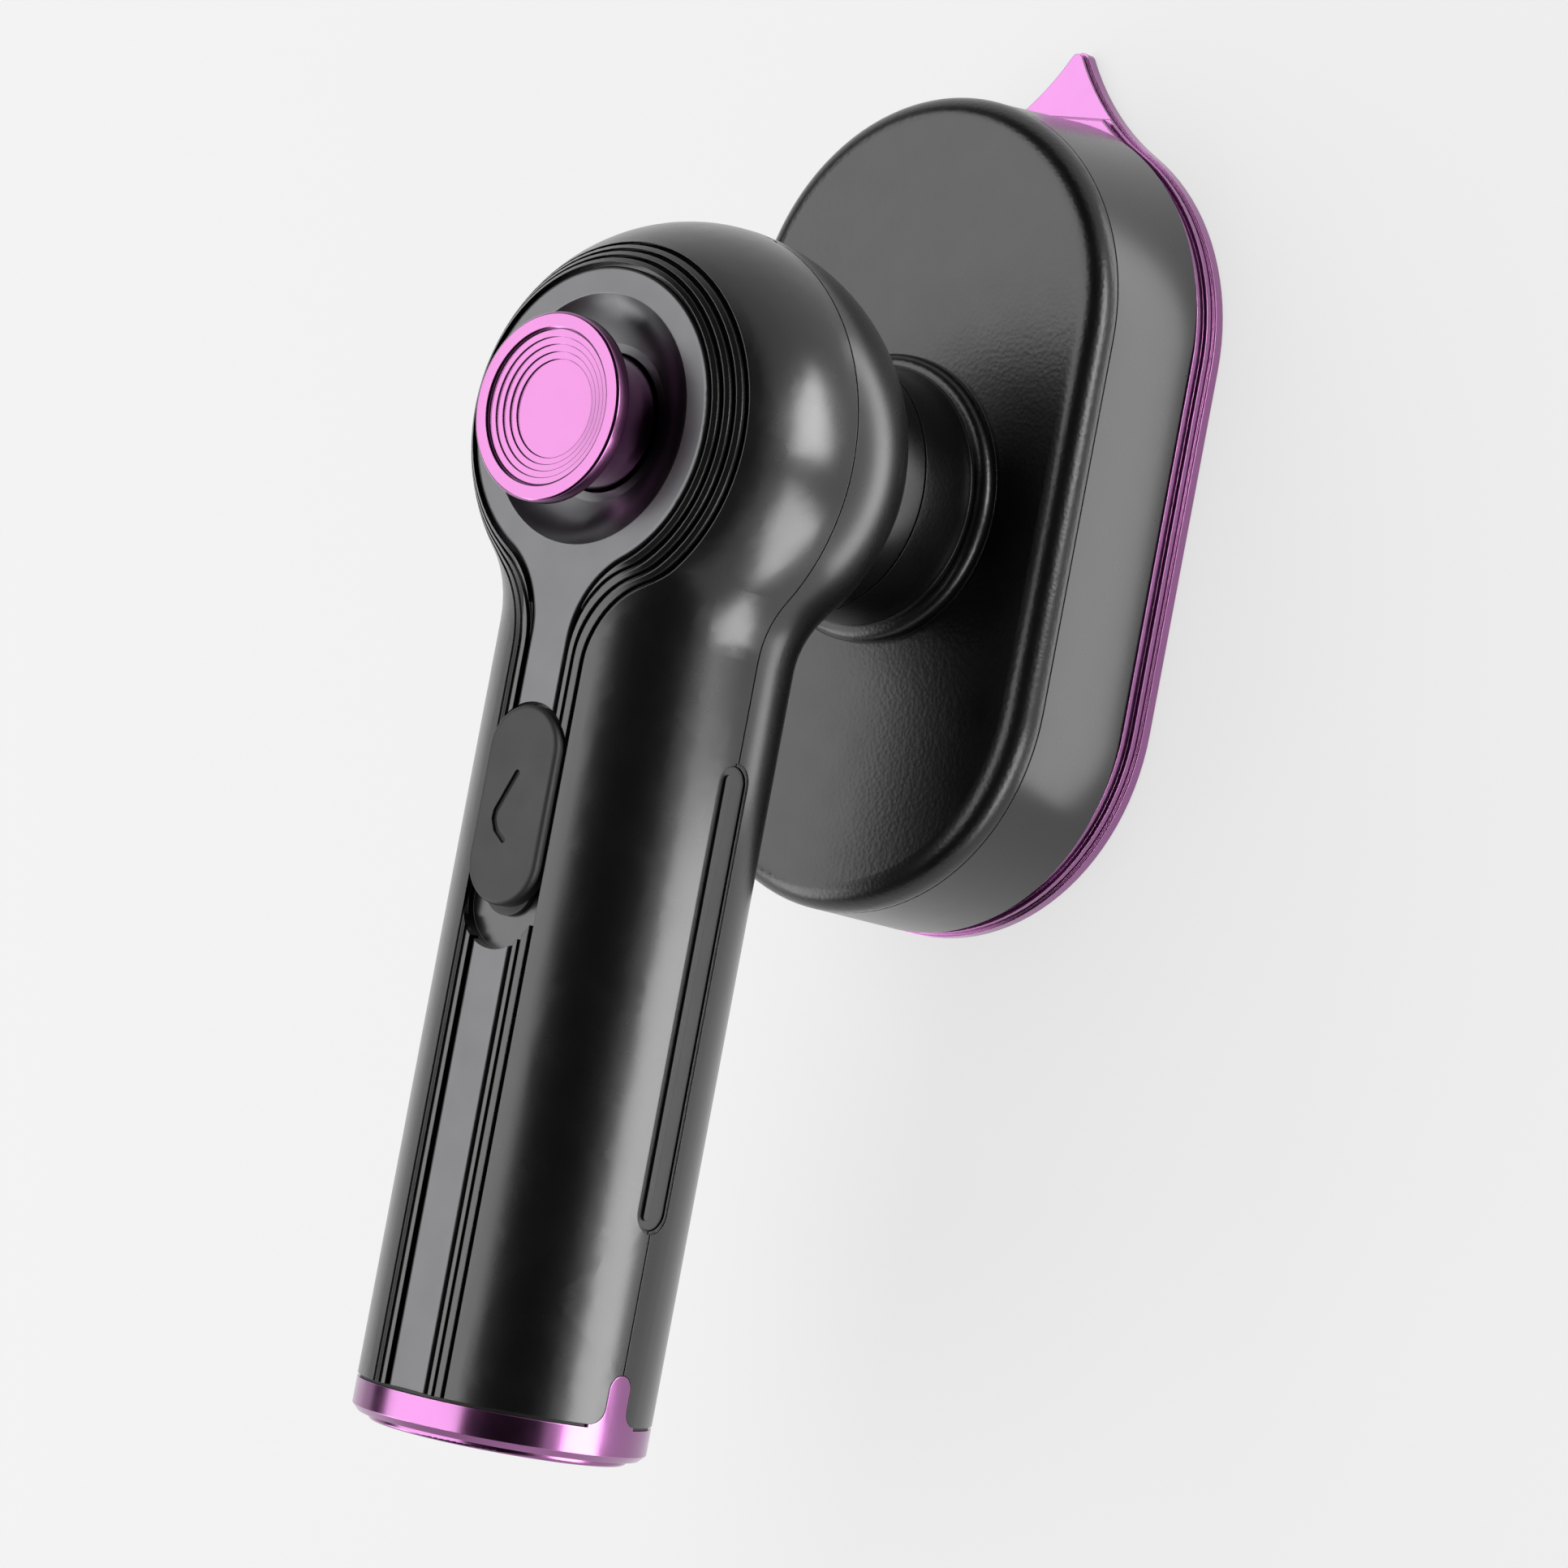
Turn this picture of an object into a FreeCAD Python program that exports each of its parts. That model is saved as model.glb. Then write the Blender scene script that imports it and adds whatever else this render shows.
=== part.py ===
import FreeCAD, Part
import math
import os

from FreeCAD import Vector

# Handheld mini steam iron with a swivelling ironing head. Millimetres, +Z up.
# The origin lies on the sole's working face, on the swivel axis (the Z axis).
# +X points to the toe of the sole, and the handle lies along -X above it.

# --- Running and seating clearances -------------------------------------------------
GAP = 0.3            # between curved faces of different bodies
SEAT = 0.1           # between a fixed piece and its seat
RUN = 0.05           # radial running fit
JOINT_GAP = 0.2      # visible joint line between two casings
LEVEL = 1e-4         # heights closer than this count as the same

# --- Handle and ball ----------------------------------------------------------------
AXIS_Z = 62.45       # height of the handle axis and of the ball's centre
HANDLE_R = 18.0
HANDLE_END = -117.1  # where the handle casing ends and the end cap starts
BALL_R = 27.0
BALL_BLEND = 12.0    # concave blend between ball and handle
WALL = 2.4           # casing wall
LIP_H = 1.6          # tongue of the rear casing inside the front one
LIP_T = 1.0

# --- Neck and swivel ----------------------------------------------------------------
NECK_R = 16.5
NECK_BLEND = 2.0
SWIVEL_Z = 36.45     # plane in which head and handle part
NECK_FLOOR = 2.2     # plate that carries the spindle
SPINDLE_R = 8.0
SPINDLE_BORE = 6.0
SPINDLE_FLANGE_R = 12.6
SPINDLE_FLANGE_T = 2.0
SPINDLE_TAIL = 1.0   # length below the circlip
SPINDLE_PILOT_SKIN = 0.4   # left under the pilot holes of its screws
BUSH_T = 1.0
BUSH_WALL = 1.0
BUSH_FLANGE_R = 10.6
CIRCLIP_T = 1.0
CIRCLIP_REACH = 1.8  # how far the clip stands out of the spindle
CIRCLIP_BITE = 0.75  # how far it reaches into the groove
CIRCLIP_GROOVE = 0.8
CIRCLIP_MOUTH = 3.2
WASHER_T = 0.9
WAVE_INSET = 0.4     # the wave washer is smaller than the bush's flange by this
STOP_R = 13.0        # radius on which the stop pin travels
STOP_PIN_R = 1.25
STOP_DEPTH = 1.6
SWING = 90.0         # swivel each way from rest, degrees

# --- Face trim, knob and pump -------------------------------------------------------
FACE_SINK = 0.6      # flat face of the trim below the handle's crown
TRIM_T = 1.6
TRIM_DISC_R = 18.5
TRIM_HALF_W = 3.1
TRIM_BLEND = 12.0    # concave curve between the disc and the stripe
TRIM_ROLL = 0.6      # rounded edge of the trim
GROOVE_W = 0.5
GROOVE_DEPTH = 0.7
GROOVES = ((19.8, 3.35), (20.8, 4.45), (21.8, 5.7))   # disc radius and half width of each
DOME_TOP_R = 18.9    # where the ball's rounded shoulder meets the face
DOME_CUTS = 9        # outlines that shape ball and handle above their widest plane
DISH_R = 15.2
DISH_FLOOR_R = 9.6
DISH_DEPTH = 2.7
DISH_SKIN = 1.4
DISH_SAG = 0.72      # share of the depth reached half way down the dish
KNOB_R = 11.4
KNOB_T = 2.3
KNOB_RISE = 7.9      # top of the knob above the face
KNOB_RING = 1.8      # flat outer ring of the knob
KNOB_DISC_R = 5.1
KNOB_STEPS = 5
KNOB_STEP_DROP = 0.3
STEM_R = 8.2
STEM_BORE = 6.8
STEM_FOOT = 0.6      # how far the stem reaches below the trim's dish
KNOB_EDGE = 0.3
KNOB_SKIN = 1.0      # depth of the ceiling inside the stem below its flange
PRESS = 2.5          # travel of the knob
PUMP_R = 5.8
PUMP_BORE = 4.5
PUMP_H = 24.0
PUMP_SEAT_Z = 44.95
PUMP_MOUNT_T = 2.0
PUMP_CAP_T = 1.5
PUMP_FLOOR = 2.5
PISTON_T = 1.2
SPIGOT_L = 5.0       # spigots that the tubes push onto
SPIGOT_ROOT = 0.4    # wall left between the inlet spigot's end and the bore
SEAL_T = 1.6
ROD_R = 2.4
SPRING_WIRE = 0.7
SPRING_TURNS = 6
TUBE_R = 2.0
TUBE_BORE = 1.1
TUBE_PUSH = 1.2      # how far the delivery tube's end stands above the lid

# --- Slide switch -------------------------------------------------------------------
BUTTON_X = -46.8
BUTTON_L = 24.2
BUTTON_W = 11.0
BUTTON_RISE = 0.9    # top of the button above the face
BUTTON_EDGE = 0.7
BUTTON_MARK = ((3.8, 0.0), (-1.05, 2.3), (-2.0, 2.35), (-3.2, 1.75), (-4.3, 0.3))
BUTTON_MARK_W = 0.8   # the mark is engraved along these points, from the button's middle
BUTTON_MARK_DEPTH = 0.5
SLIDE = 3.8          # travel towards the end cap
TRACK_CLEAR = 0.4    # between the button and the wall of its track
TRACK_SINK = 2.0     # floor of its track below the face
CEILING_SINK = 3.6   # inside of the front casing below the face
SHOE_W = 8.0
SHOE_T = 0.6
SHOE_OVER = 1.0      # how far the shoe reaches past the button towards the end cap
SHOE_BACK = 2.0      # how far it stops short of the other end
SLIDE_STEM_L = 7.0
SLIDE_STEM_W = 3.0
CARRIAGE_T = 2.4
CARRIAGE_L = 12.0
CARRIAGE_W = 8.0
LEVER_W = 2.0        # post of the button that moves the switch
SWITCH_L = 14.0
SWITCH_W = 7.0
SWITCH_H = 4.6

# --- Circuit board ------------------------------------------------------------------
PCB_X = (-64.0, -31.0)
PCB_W = 20.0
PCB_T = 1.6
PCB_SINK = 8.6       # its top below the casing's ceiling
POST_R = 2.2
BOARD_SCREW_GRIP = 6.0
RELAY_X = (-60.0, -48.0)
RELAY_W = 10.0
RELAY_H = 6.0

# --- Water tank ---------------------------------------------------------------------
TANK_X = (-99.0, -68.0)
TANK_R = 14.0
TANK_WALL = 1.2
RIB_T = 1.6
FILLER_X = -84.0
FILLER_R = 5.6
FILLER_BORE = 4.6
PLUG_FLANGE_R = 7.0
PLUG_FLANGE_T = 1.6
PLUG_L = 6.0
PLUG_SINK = 1.2      # depth of the plug's seat in the rear casing
PLUG_EDGE = 0.5
EAR_W = 5.0          # ear by which a finger lifts the plug
EAR_T = 0.6
EAR_REACH = 1.5
EAR_ROOT = 2.0
SUCTION_Z = 52.45

# --- Side channels and their strips -------------------------------------------------
SLOT_X = (-93.6, -37.4)
SLOT_W = 4.6
SLOT_DEPTH = 1.2
SLOT_BEVEL = 0.35
STRIP_T = 0.5
STRIP_BAR_W = 1.1
STRIP_BAR_Z = 0.95   # offset of the raised bar from the joint plane
STRIP_BAR_SHORT = 2.4      # the bar is shorter than the channel by this
STRIP_SINK = 0.15    # its face below the handle's surface

# --- End cap and power inlet --------------------------------------------------------
CAP_GASKET_T = 0.4
CAP_GASKET_INSET = 0.4
CAP_WALL_L = 3.2
CAP_CHAMFER = 0.8
CAP_FLOOR = 2.0
CAP_FOOT_R = 15.8
CAP_FOOT_L = 0.8
CAP_SCREW_SINK = 0.9  # depth of the screws' bearing face below the foot's plane
CAP_POST_R = 2.5      # posts of the casings that take the cap's screws
CAP_POST_END = -108.0
CAP_POST_WEB = 2.4
CAP_SPIGOT_T = 1.6
CAP_SPIGOT_L = 6.0
CAP_TAB_TOP = -111.0
CAP_TAB_W = 3.6
CAP_TAB_FLARE = 2.2
CAP_SCREW_RISE = 4.2  # of the cap's screws from the inlet
INLET_W = 21.0
INLET_H = 12.6
INLET_SOCKET_W = 17.2
INLET_SOCKET_H = 8.8
INLET_DEPTH = 11.5
INLET_BACK = 2.5
INLET_SINK = 0.8
INLET_CORNER = 3.0
INLET_SOCKET_CORNER = 4.2
INLET_FLANGE = 1.0
INLET_FLANGE_T = 1.2
PIN_R = 1.18
PIN_PITCH = 8.6
PIN_SINK = 2.4       # pin ends behind the foot's plane
PIN_TAIL = 2.0       # their solder ends behind the body

# --- Ironing head -------------------------------------------------------------------
RIM_L = 106.2
RIM_W = 59.7
RIM_X = 0.3          # the rim sits this far towards the toe
TOE_REACH = 9.15     # tip of the toe beyond the rim's end
TOE_TIP_R = 1.2
TOE_HOLLOW = 33.5    # radius of the toe's concave sides
RIM_LIFT = 0.4       # sole stands proud of the rim by this
RIM_TOP = 4.8
TOE_TOP = 2.9        # height of the toe's upper face
TOE_RISER = (0.1, 0.7)    # where the riser behind it starts and ends, from the band's front
TOE_TIP_LEAST = 0.4  # tip radius of the inset outlines
RIM_LAYERS = ((1.4, 0.0), (0.3, 0.3), (0.35, 0.75), (0.75, 0.35), (1.0, 0.95), (0.6, 0.75))
SOLE_T = 2.2
SOLE_INSET = 1.7
RIM_LEDGE = 4.2
STEAM_HOLE_R = 1.3
STEAM_ARC_INSET = 11.0   # of the front row, from the rim
STEAM_ARC_STEP = 15.0    # degrees between its holes
STEAM_ARC_SIDE = 4       # holes each side of the middle one
STEAM_ROW_X = -30.0
STEAM_ROW_PITCH = 10.0
STEAM_ROW_HOLES = 5
STEAM_ROW_Y = 12.0
BAND_INSET_L = 0.3   # foot of the band, which tapers to the cover's outline, within the rim
BAND_INSET_W = 2.0
COVER_INSET_L = 1.7  # outline of the cover within the band's foot
COVER_INSET_W = 0.2
COVER_Z = 20.9
COVER_TOP = 24.8
COVER_ROLL = 3.4
COVER_WALL = 2.2
COVER_RIM = 2.8      # wall of the cover along its rolled edge
COVER_SKIN = 0.9     # left above the pilot holes of its screws
COVER_BOSS_ROOT = 0.5      # how far its bosses run into the ceiling
COVER_BOSS_R = 3.2
COLLAR_R = 18.4      # raised ring at the foot of the neck
COLLAR_H = 2.4
COLLAR_ROLL = 1.6
COLLAR_COVE = 0.25   # between the collar's top and the neck
LEDGE_W = 3.0
LEDGE_T = 1.6

# --- Heater -------------------------------------------------------------------------
BLOCK_L = 84.0
BLOCK_W = 44.0
BLOCK_H = 10.0
ELEMENT_R = 3.2
ELEMENT_Z = 4.2      # above the block's underside
LEG_Y = 15.5
LEG_X = (-39.0, 16.0)
TAG_STUB_R = 1.1     # pin between each leg and its tag
TAG_STUB_L = 2.4
TAG_T = 0.8
TAG_W = 4.0
TAG_Z = (-1.5, 6.0)  # from the element's axis
LID_L = 54.0
LID_W = 26.0
LID_X = 8.0
LID_T = 1.5
LID_LAND = 3.0       # width on which its gasket lies
CHAMBER_DEPTH = 4.5
PILLAR_X = (-6.0, 2.0, 10.0, 18.0)   # pillars in the chamber that spread the water
PILLAR_R = 1.5
LID_GASKET_T = 0.5
SHIELD_T = 0.9
SHIELD_CLEAR = 0.2   # more than a seat's play, all round
SHIELD_BORE = 8.0
NECK_PLATE_T = 2.6   # plate at the top of the head's neck that holds the bush
NIPPLE_R = 4.0
NIPPLE_H = 6.0
NIPPLE_FLOOR = 1.0
ORING_WIRE_R = 0.5
ORING_SEAT = (3.0, 4.4)    # groove of the O-ring above the lid
ORING_SEAT_R = 3.1
STAT_R = 7.0
STAT_X = -28.5
STAT_H = 4.8
STAT_STEP = 2.0      # height of its narrower top half above the foot
STAT_STEP_IN = 1.6
FUSE_R = 2.0
FUSE_L = 12.0
FUSE_X = 8.0
FUSE_OFF = 1.6       # from the lid
CLIP_T = 0.7
CLIP_W = 4.0
WIRE_R = 0.8
WIRE_PITCH = 2.2
LOOM_X = -4.4
LOOM_SHIFT = 5.4     # how far the wires step aside to clear the suction tube
LOOM_MEET = 5.0      # the two looms meet this far below the neck's plate
LOOM_BEND = (-12.5, 1.1)   # x, and height above the pump's seat, past the pump
LOOM_RISE = (-18.0, 3.0)   # x, and height above the suction tube
LOOM_SPAN = (-25.0, 1.0)   # x, and depth below the handle's axis
LOOM_PAD_X = 6.0     # where it is soldered, from the board's end
LOOM_DROP = 1.9      # end of its upright part below the pump's seat
LOOM_FALL = 1.6      # height over which the head's wires turn level
LOOM_CLAMP = 1.5     # depth of the wires in the terminals
TERMINAL_PITCH = 2.8
TERMINAL_START = -7.0
TERMINAL_Y = -17.2
TERMINAL_H = 4.9
TERMINAL_END = 2.5   # beyond its outer wires
TERMINAL_HALF_W = 2.6
TERMINAL_BORE_L = 2.0
WINDOW_HALF = 3.0    # opening of the heat shield round it

# --- Screws, bosses and lugs --------------------------------------------------------
SCREW_R = 1.25
SCREW_HEAD_R = 2.3
SCREW_HEAD_T = 1.4
SLOT_HALF = 0.3      # half width of the slot in a screw's head
BOSS_R = 3.0
BOSSES = ((-28.0, 9.5), (-28.0, -9.5), (-103.0, 0.0))
PCB_POSTS = ((-34.5, 8.0), (-34.5, -8.0), (-62.0, 8.0), (-62.0, -8.0))
RIBS = (-73.0, -94.0)          # rings that hold the tank
SHELL_SCREW_Z = 49.95          # face that the casing screws bear on
SHELL_SCREW_GRIP = 7.0         # how far they reach into the front casing
LUG_R = 4.0
LUG_T = 2.0
BASE_LUGS = ((39.5, 0.0), (-38.5, 8.5), (-38.5, -8.5))
COVER_LUG_T = 2.4
COVER_LUGS = ((34.0, 19.0), (34.0, -19.0), (-34.0, 19.0), (-34.0, -19.0))
SPINDLE_SCREW_PITCH = 10.6     # radius of their circle
LID_SCREW_INSET = 1.7
LID_SCREW_END = 0.2  # further in at the lid's round ends
LID_SCREW_L = 4.0
LID_PILOT = 2.5
BASE_SCREW_L = 6.5
BASE_PILOT = 5.0
COVER_SCREW_L = 5.6
SPINDLE_SCREW_L = 3.4
BOSS_ROOT = 0.5                # how far bosses and posts run into the ceiling

# --- Derived ------------------------------------------------------------------------
FAR = 200.0                    # reach of a cutting box, beyond every piece
FACE_Z = AXIS_Z + HANDLE_R - FACE_SINK
KNOB_TOP = FACE_Z + KNOB_RISE
BUTTON_TOP = FACE_Z + BUTTON_RISE
TRACK_FLOOR = FACE_Z - TRACK_SINK
CEILING_Z = FACE_Z - CEILING_SINK
PCB_TOP = CEILING_Z - PCB_SINK
TOE_X = RIM_L / 2 + TOE_REACH
BAND_L = RIM_L - BAND_INSET_L
BAND_W = RIM_W - BAND_INSET_W
COVER_L = BAND_L - COVER_INSET_L
COVER_W = BAND_W - COVER_INSET_W
PLUG_SEAT = AXIS_Z - HANDLE_R + PLUG_SINK
TRACK_L = BUTTON_L + SHOE_OVER + SLIDE + 2 * TRACK_CLEAR
TRACK_W = BUTTON_W + 2 * TRACK_CLEAR
TRACK_X = BUTTON_X - (SHOE_OVER + SLIDE) / 2
STEM_SLOT_X = (BUTTON_X - SLIDE_STEM_L / 2 - SLIDE - GAP, BUTTON_X + SLIDE_STEM_L / 2 + GAP)
CAP_TOP = HANDLE_END - CAP_GASKET_T
CAP_LOW = CAP_TOP - CAP_WALL_L - CAP_CHAMFER
CAP_FOOT = CAP_LOW - CAP_FOOT_L
CAP_SCREW_Z = INLET_H / 2 + CAP_SCREW_RISE   # from the handle axis
PUMP_TOP = PUMP_SEAT_Z + PUMP_H
PUMP_MOUNT_R = math.sqrt((BALL_R - WALL) ** 2 - (AXIS_Z - PUMP_SEAT_Z + PUMP_MOUNT_T) ** 2) - SEAT
KNOB_CEILING = KNOB_TOP - KNOB_T - KNOB_SKIN   # inside of the knob, on which the plunger bears
BUSH_R = SPINDLE_R + BUSH_WALL
SPINDLE_SCREWS = [(SPINDLE_SCREW_PITCH * math.cos(math.radians(a)),
                   SPINDLE_SCREW_PITCH * math.sin(math.radians(a))) for a in (0, 120, 240)]
LID_END = LID_L / 2 - LID_SCREW_INSET - LID_SCREW_END
LID_SIDE = LID_W / 2 - LID_SCREW_INSET
LID_SCREWS = ((LID_X - LID_END, 0.0), (LID_X + LID_END, 0.0), (LID_X, LID_SIDE), (LID_X, -LID_SIDE))
BAND_FRONT = RIM_X + BAND_L / 2
COVER_CEILING = COVER_TOP - COVER_WALL

BLOCK_Z = SOLE_T + SEAT
BLOCK_TOP = BLOCK_Z + BLOCK_H
LID_TOP = BLOCK_TOP + LID_GASKET_T + LID_T
BAND_TOP = COVER_Z - JOINT_GAP
LEDGE_TOP = BAND_TOP - SHIELD_T
HEAD_NECK_TOP = SWIVEL_Z - JOINT_GAP / 2 - SEAT / 2
HANDLE_NECK_Z = SWIVEL_Z + JOINT_GAP / 2 + SEAT / 2
SPINDLE_SEAT = HANDLE_NECK_Z + NECK_FLOOR
BUSH_TOP = HANDLE_NECK_Z - RUN
NECK_PLATE_Z = HEAD_NECK_TOP - NECK_PLATE_T
TRIM_FLOOR = FACE_Z - TRIM_T
TERMINAL_TOP = BLOCK_TOP + TERMINAL_H
TERMINAL_X = [TERMINAL_START - i * TERMINAL_PITCH for i in range(3)]


def box(x, y, z):
    """Box from three (low, high) pairs."""
    return Part.makeBox(x[1] - x[0], y[1] - y[0], z[1] - z[0], Vector(x[0], y[0], z[0]))


def rod(radius, start, end):
    """Round bar from point to point."""
    a = Vector(*start)
    run = Vector(*end) - a
    return Part.makeCylinder(radius, run.Length, a, run)


def pipe(radius, bore, start, end):
    """Round tube from point to point."""
    return rod(radius, start, end).cut(rod(bore, start, end))


def upright(radius, x, y, z):
    """Vertical bar at x, y over a (low, high) height."""
    return rod(radius, (x, y, z[0]), (x, y, z[1]))


def chain(radius, points):
    """Round wire through points, with ball corners."""
    wire = rod(radius, points[0], points[1])
    for a, b in zip(points[1:], points[2:]):
        wire = wire.fuse([Part.makeSphere(radius, Vector(*a)), rod(radius, a, b)])
    return wire.removeSplitter()


def loop(edges):
    """Closed face from edges in order."""
    return Part.Face(Part.Wire(edges))


def arc(a, mid, b):
    """Arc edge through three points."""
    return Part.Arc(a, mid, b).toShape()


def line(a, b):
    """Straight edge."""
    return Part.LineSegment(a, b).toShape()


def spin(points, axis_point=Vector(0, 0, 0), axis=Vector(0, 0, 1)):
    """Solid of revolution of a polygon given as (radius, z) pairs about Z."""
    corners = [Vector(r, 0, z) for r, z in points]
    return Part.Face(Part.makePolygon(corners + corners[:1])).revolve(axis_point, axis, 360)


def stadium_wire(length, width, z, x=0.0):
    """Stadium outline with its long axis along X."""
    r = width / 2
    s = length / 2 - r
    p = [Vector(x - s, r, z), Vector(x + s, r, z), Vector(x + s, -r, z), Vector(x - s, -r, z)]
    return Part.Wire([
        line(p[0], p[1]), arc(p[1], Vector(x + s + r, 0, z), p[2]),
        line(p[2], p[3]), arc(p[3], Vector(x - s - r, 0, z), p[0])])


def stadium(length, width, z, x=0.0):
    """Upright stadium prism over a (low, high) height."""
    return Part.Face(stadium_wire(length, width, z[0], x)).extrude(Vector(0, 0, z[1] - z[0]))


def taper(low, high, z):
    """Stadium frustum; low and high are (length, width, x) of its two outlines."""
    wires = [stadium_wire(low[0], low[1], z[0], low[2]), stadium_wire(high[0], high[1], z[1], high[2])]
    return Part.makeLoft(wires, True, True)


def screw(x, y, head_z, length, up=False):
    """Pan-head screw along Z; head_z is the face that the head bears on."""
    s = 1 if up else -1
    head = rod(SCREW_HEAD_R, (x, y, head_z), (x, y, head_z - s * SCREW_HEAD_T))
    slot = box((x - SCREW_HEAD_R, x + SCREW_HEAD_R), (y - SLOT_HALF, y + SLOT_HALF),
               sorted((head_z - s * SCREW_HEAD_T, head_z - s * SCREW_HEAD_T / 2)))
    return head.cut(slot).fuse(rod(SCREW_R, (x, y, head_z), (x, y, head_z + s * length)))


def top_edges(shape, z):
    """Edges of a shape that lie wholly at height z."""
    return [e for e in shape.Edges
            if abs(e.BoundBox.ZMin - z) < LEVEL and abs(e.BoundBox.ZMax - z) < LEVEL]


# --- Outer form of ball, handle and neck --------------------------------------------
def wand(inset):
    """Ball and handle as one body of revolution about the handle axis, less an inset."""
    ball = BALL_R - inset
    bar = HANDLE_R - inset
    blend = BALL_BLEND + inset
    end = HANDLE_END - (1.0 if inset else 0.0)
    cx = -math.sqrt((ball + blend) ** 2 - (bar + blend) ** 2)
    share = ball / (ball + blend)
    touch = Vector(cx * share, 0, AXIS_Z + (bar + blend) * share)
    half = math.atan2(touch.z - AXIS_Z, -touch.x) / 2
    mid_angle = math.atan2(touch.z - AXIS_Z, touch.x) / 2
    centre = Vector(cx, 0, AXIS_Z + bar + blend)
    foot = Vector(cx, 0, AXIS_Z + bar)
    chord = touch - centre + foot - centre
    mid = centre + chord * (blend / chord.Length)
    crown = Vector(ball * math.cos(mid_angle), 0, AXIS_Z + ball * math.sin(mid_angle))
    profile = loop([
        line(Vector(end, 0, AXIS_Z), Vector(end, 0, AXIS_Z + bar)),
        line(Vector(end, 0, AXIS_Z + bar), foot),
        arc(foot, mid, touch),
        arc(touch, crown, Vector(ball, 0, AXIS_Z)),
        line(Vector(ball, 0, AXIS_Z), Vector(end, 0, AXIS_Z))])
    return profile.revolve(Vector(0, 0, AXIS_Z), Vector(1, 0, 0), 360)


def neck(inset, floor):
    """Neck under the ball, blended into it."""
    r = NECK_R - inset
    ball = BALL_R - inset
    blend = NECK_BLEND
    cz = AXIS_Z - math.sqrt((ball + blend) ** 2 - (r + blend) ** 2)
    share = ball / (ball + blend)
    centre = Vector(r + blend, 0, cz)
    touch = Vector((r + blend) * share, 0, AXIS_Z + (cz - AXIS_Z) * share)
    foot = Vector(r, 0, cz)
    chord = touch - centre + foot - centre
    mid = centre + chord * (blend / chord.Length)
    top = Vector(0, 0, touch.z)
    profile = loop([
        line(Vector(0, 0, floor), Vector(r, 0, floor)),
        line(Vector(r, 0, floor), foot), arc(foot, mid, touch),
        line(touch, top), line(top, Vector(0, 0, floor))])
    return profile.revolve(Vector(0, 0, 0), Vector(0, 0, 1), 360)


def keyhole_wire(disc, half, z, blend=TRIM_BLEND, end=HANDLE_END):
    """Keyhole outline: disc on the swivel axis and a stripe along the handle to end."""
    cx = -math.sqrt((disc + blend) ** 2 - (half + blend) ** 2)
    share = disc / (disc + blend)

    def corner(s):
        centre = Vector(cx, s * (half + blend), z)
        touch = Vector(cx * share, s * (half + blend) * share, z)
        foot = Vector(cx, s * half, z)
        chord = touch - centre + foot - centre
        return foot, centre + chord * (blend / chord.Length), touch

    foot_a, mid_a, touch_a = corner(1)
    foot_b, mid_b, touch_b = corner(-1)
    tail_a = Vector(end, half, z)
    tail_b = Vector(end, -half, z)
    return Part.Wire([
        line(tail_a, foot_a), arc(foot_a, mid_a, touch_a),
        arc(touch_a, Vector(disc, 0, z), touch_b),
        arc(touch_b, mid_b, foot_b), line(foot_b, tail_b), line(tail_b, tail_a)])


def keyhole(disc, half, z, grow=0.0):
    """Keyhole prism over a (low, high) height, its outline grown outwards by grow."""
    wire = keyhole_wire(disc + grow, half + grow, z[0], TRIM_BLEND - grow)
    return Part.Face(wire).extrude(Vector(0, 0, z[1] - z[0]))


def upper_outlines(inset):
    """Outlines of ball and handle from their widest plane up to the face, less an inset."""
    rise = FACE_Z - AXIS_Z
    ball = BALL_R - inset
    bar = HANDLE_R - inset
    drop = BALL_R - DOME_TOP_R
    roll = (rise ** 2 + drop ** 2) / (2 * drop) - inset
    sweep = math.asin(rise / HANDLE_R)
    end = HANDLE_END - (1.0 if inset else 0.0)
    wires = []
    for i in range(DOME_CUTS):
        height = bar * math.sin(sweep * i / (DOME_CUTS - 1))
        half = math.sqrt(bar ** 2 - height ** 2)
        disc = ball - roll + math.sqrt(roll ** 2 - height ** 2)
        wires.append(keyhole_wire(disc, half, AXIS_Z + height, BALL_BLEND + inset, end))
    return wires


def form(inset):
    """Ball and handle with a rounded shoulder up to the face, less an inset."""
    lower = wand(inset).common(box((-FAR, FAR), (-FAR, FAR), (0, AXIS_Z)))
    return lower.fuse(Part.makeLoft(upper_outlines(inset), True, False)).removeSplitter()


def side_slot(side, width, outer, inner, length_trim=0.0):
    """Stadium prism along Y on one side of the handle, centred on the joint plane."""
    mid_x = sum(SLOT_X) / 2
    length = SLOT_X[1] - SLOT_X[0] - length_trim
    flat = stadium(length, width, (inner, outer), mid_x)
    flat.rotate(Vector(0, 0, 0), Vector(1, 0, 0), -90 * side)
    flat.translate(Vector(0, 0, AXIS_Z))
    return flat


def cap_tab(side, grow):
    """Outline prism of the end cap's tab, which rises along the joint plane."""
    r = CAP_TAB_W / 2 + grow
    f = CAP_TAB_FLARE
    top = CAP_TAB_TOP + grow
    base = HANDLE_END
    root = base - 1.0
    k = 1 - math.sqrt(0.5)

    def at(x, z):
        return Vector(x, 0, AXIS_Z + z)

    face = loop([
        line(at(root, r + f), at(base, r + f)),
        arc(at(base, r + f), at(base + f * k, r + f * k), at(base + f, r)),
        line(at(base + f, r), at(top - r, r)),
        arc(at(top - r, r), at(top, 0), at(top - r, -r)),
        line(at(top - r, -r), at(base + f, -r)),
        arc(at(base + f, -r), at(base + f * k, -r - f * k), at(base, -r - f)),
        line(at(base, -r - f), at(root, -r - f)),
        line(at(root, -r - f), at(root, r + f))])
    return face.extrude(Vector(0, side * (HANDLE_R + 2), 0))


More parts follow.
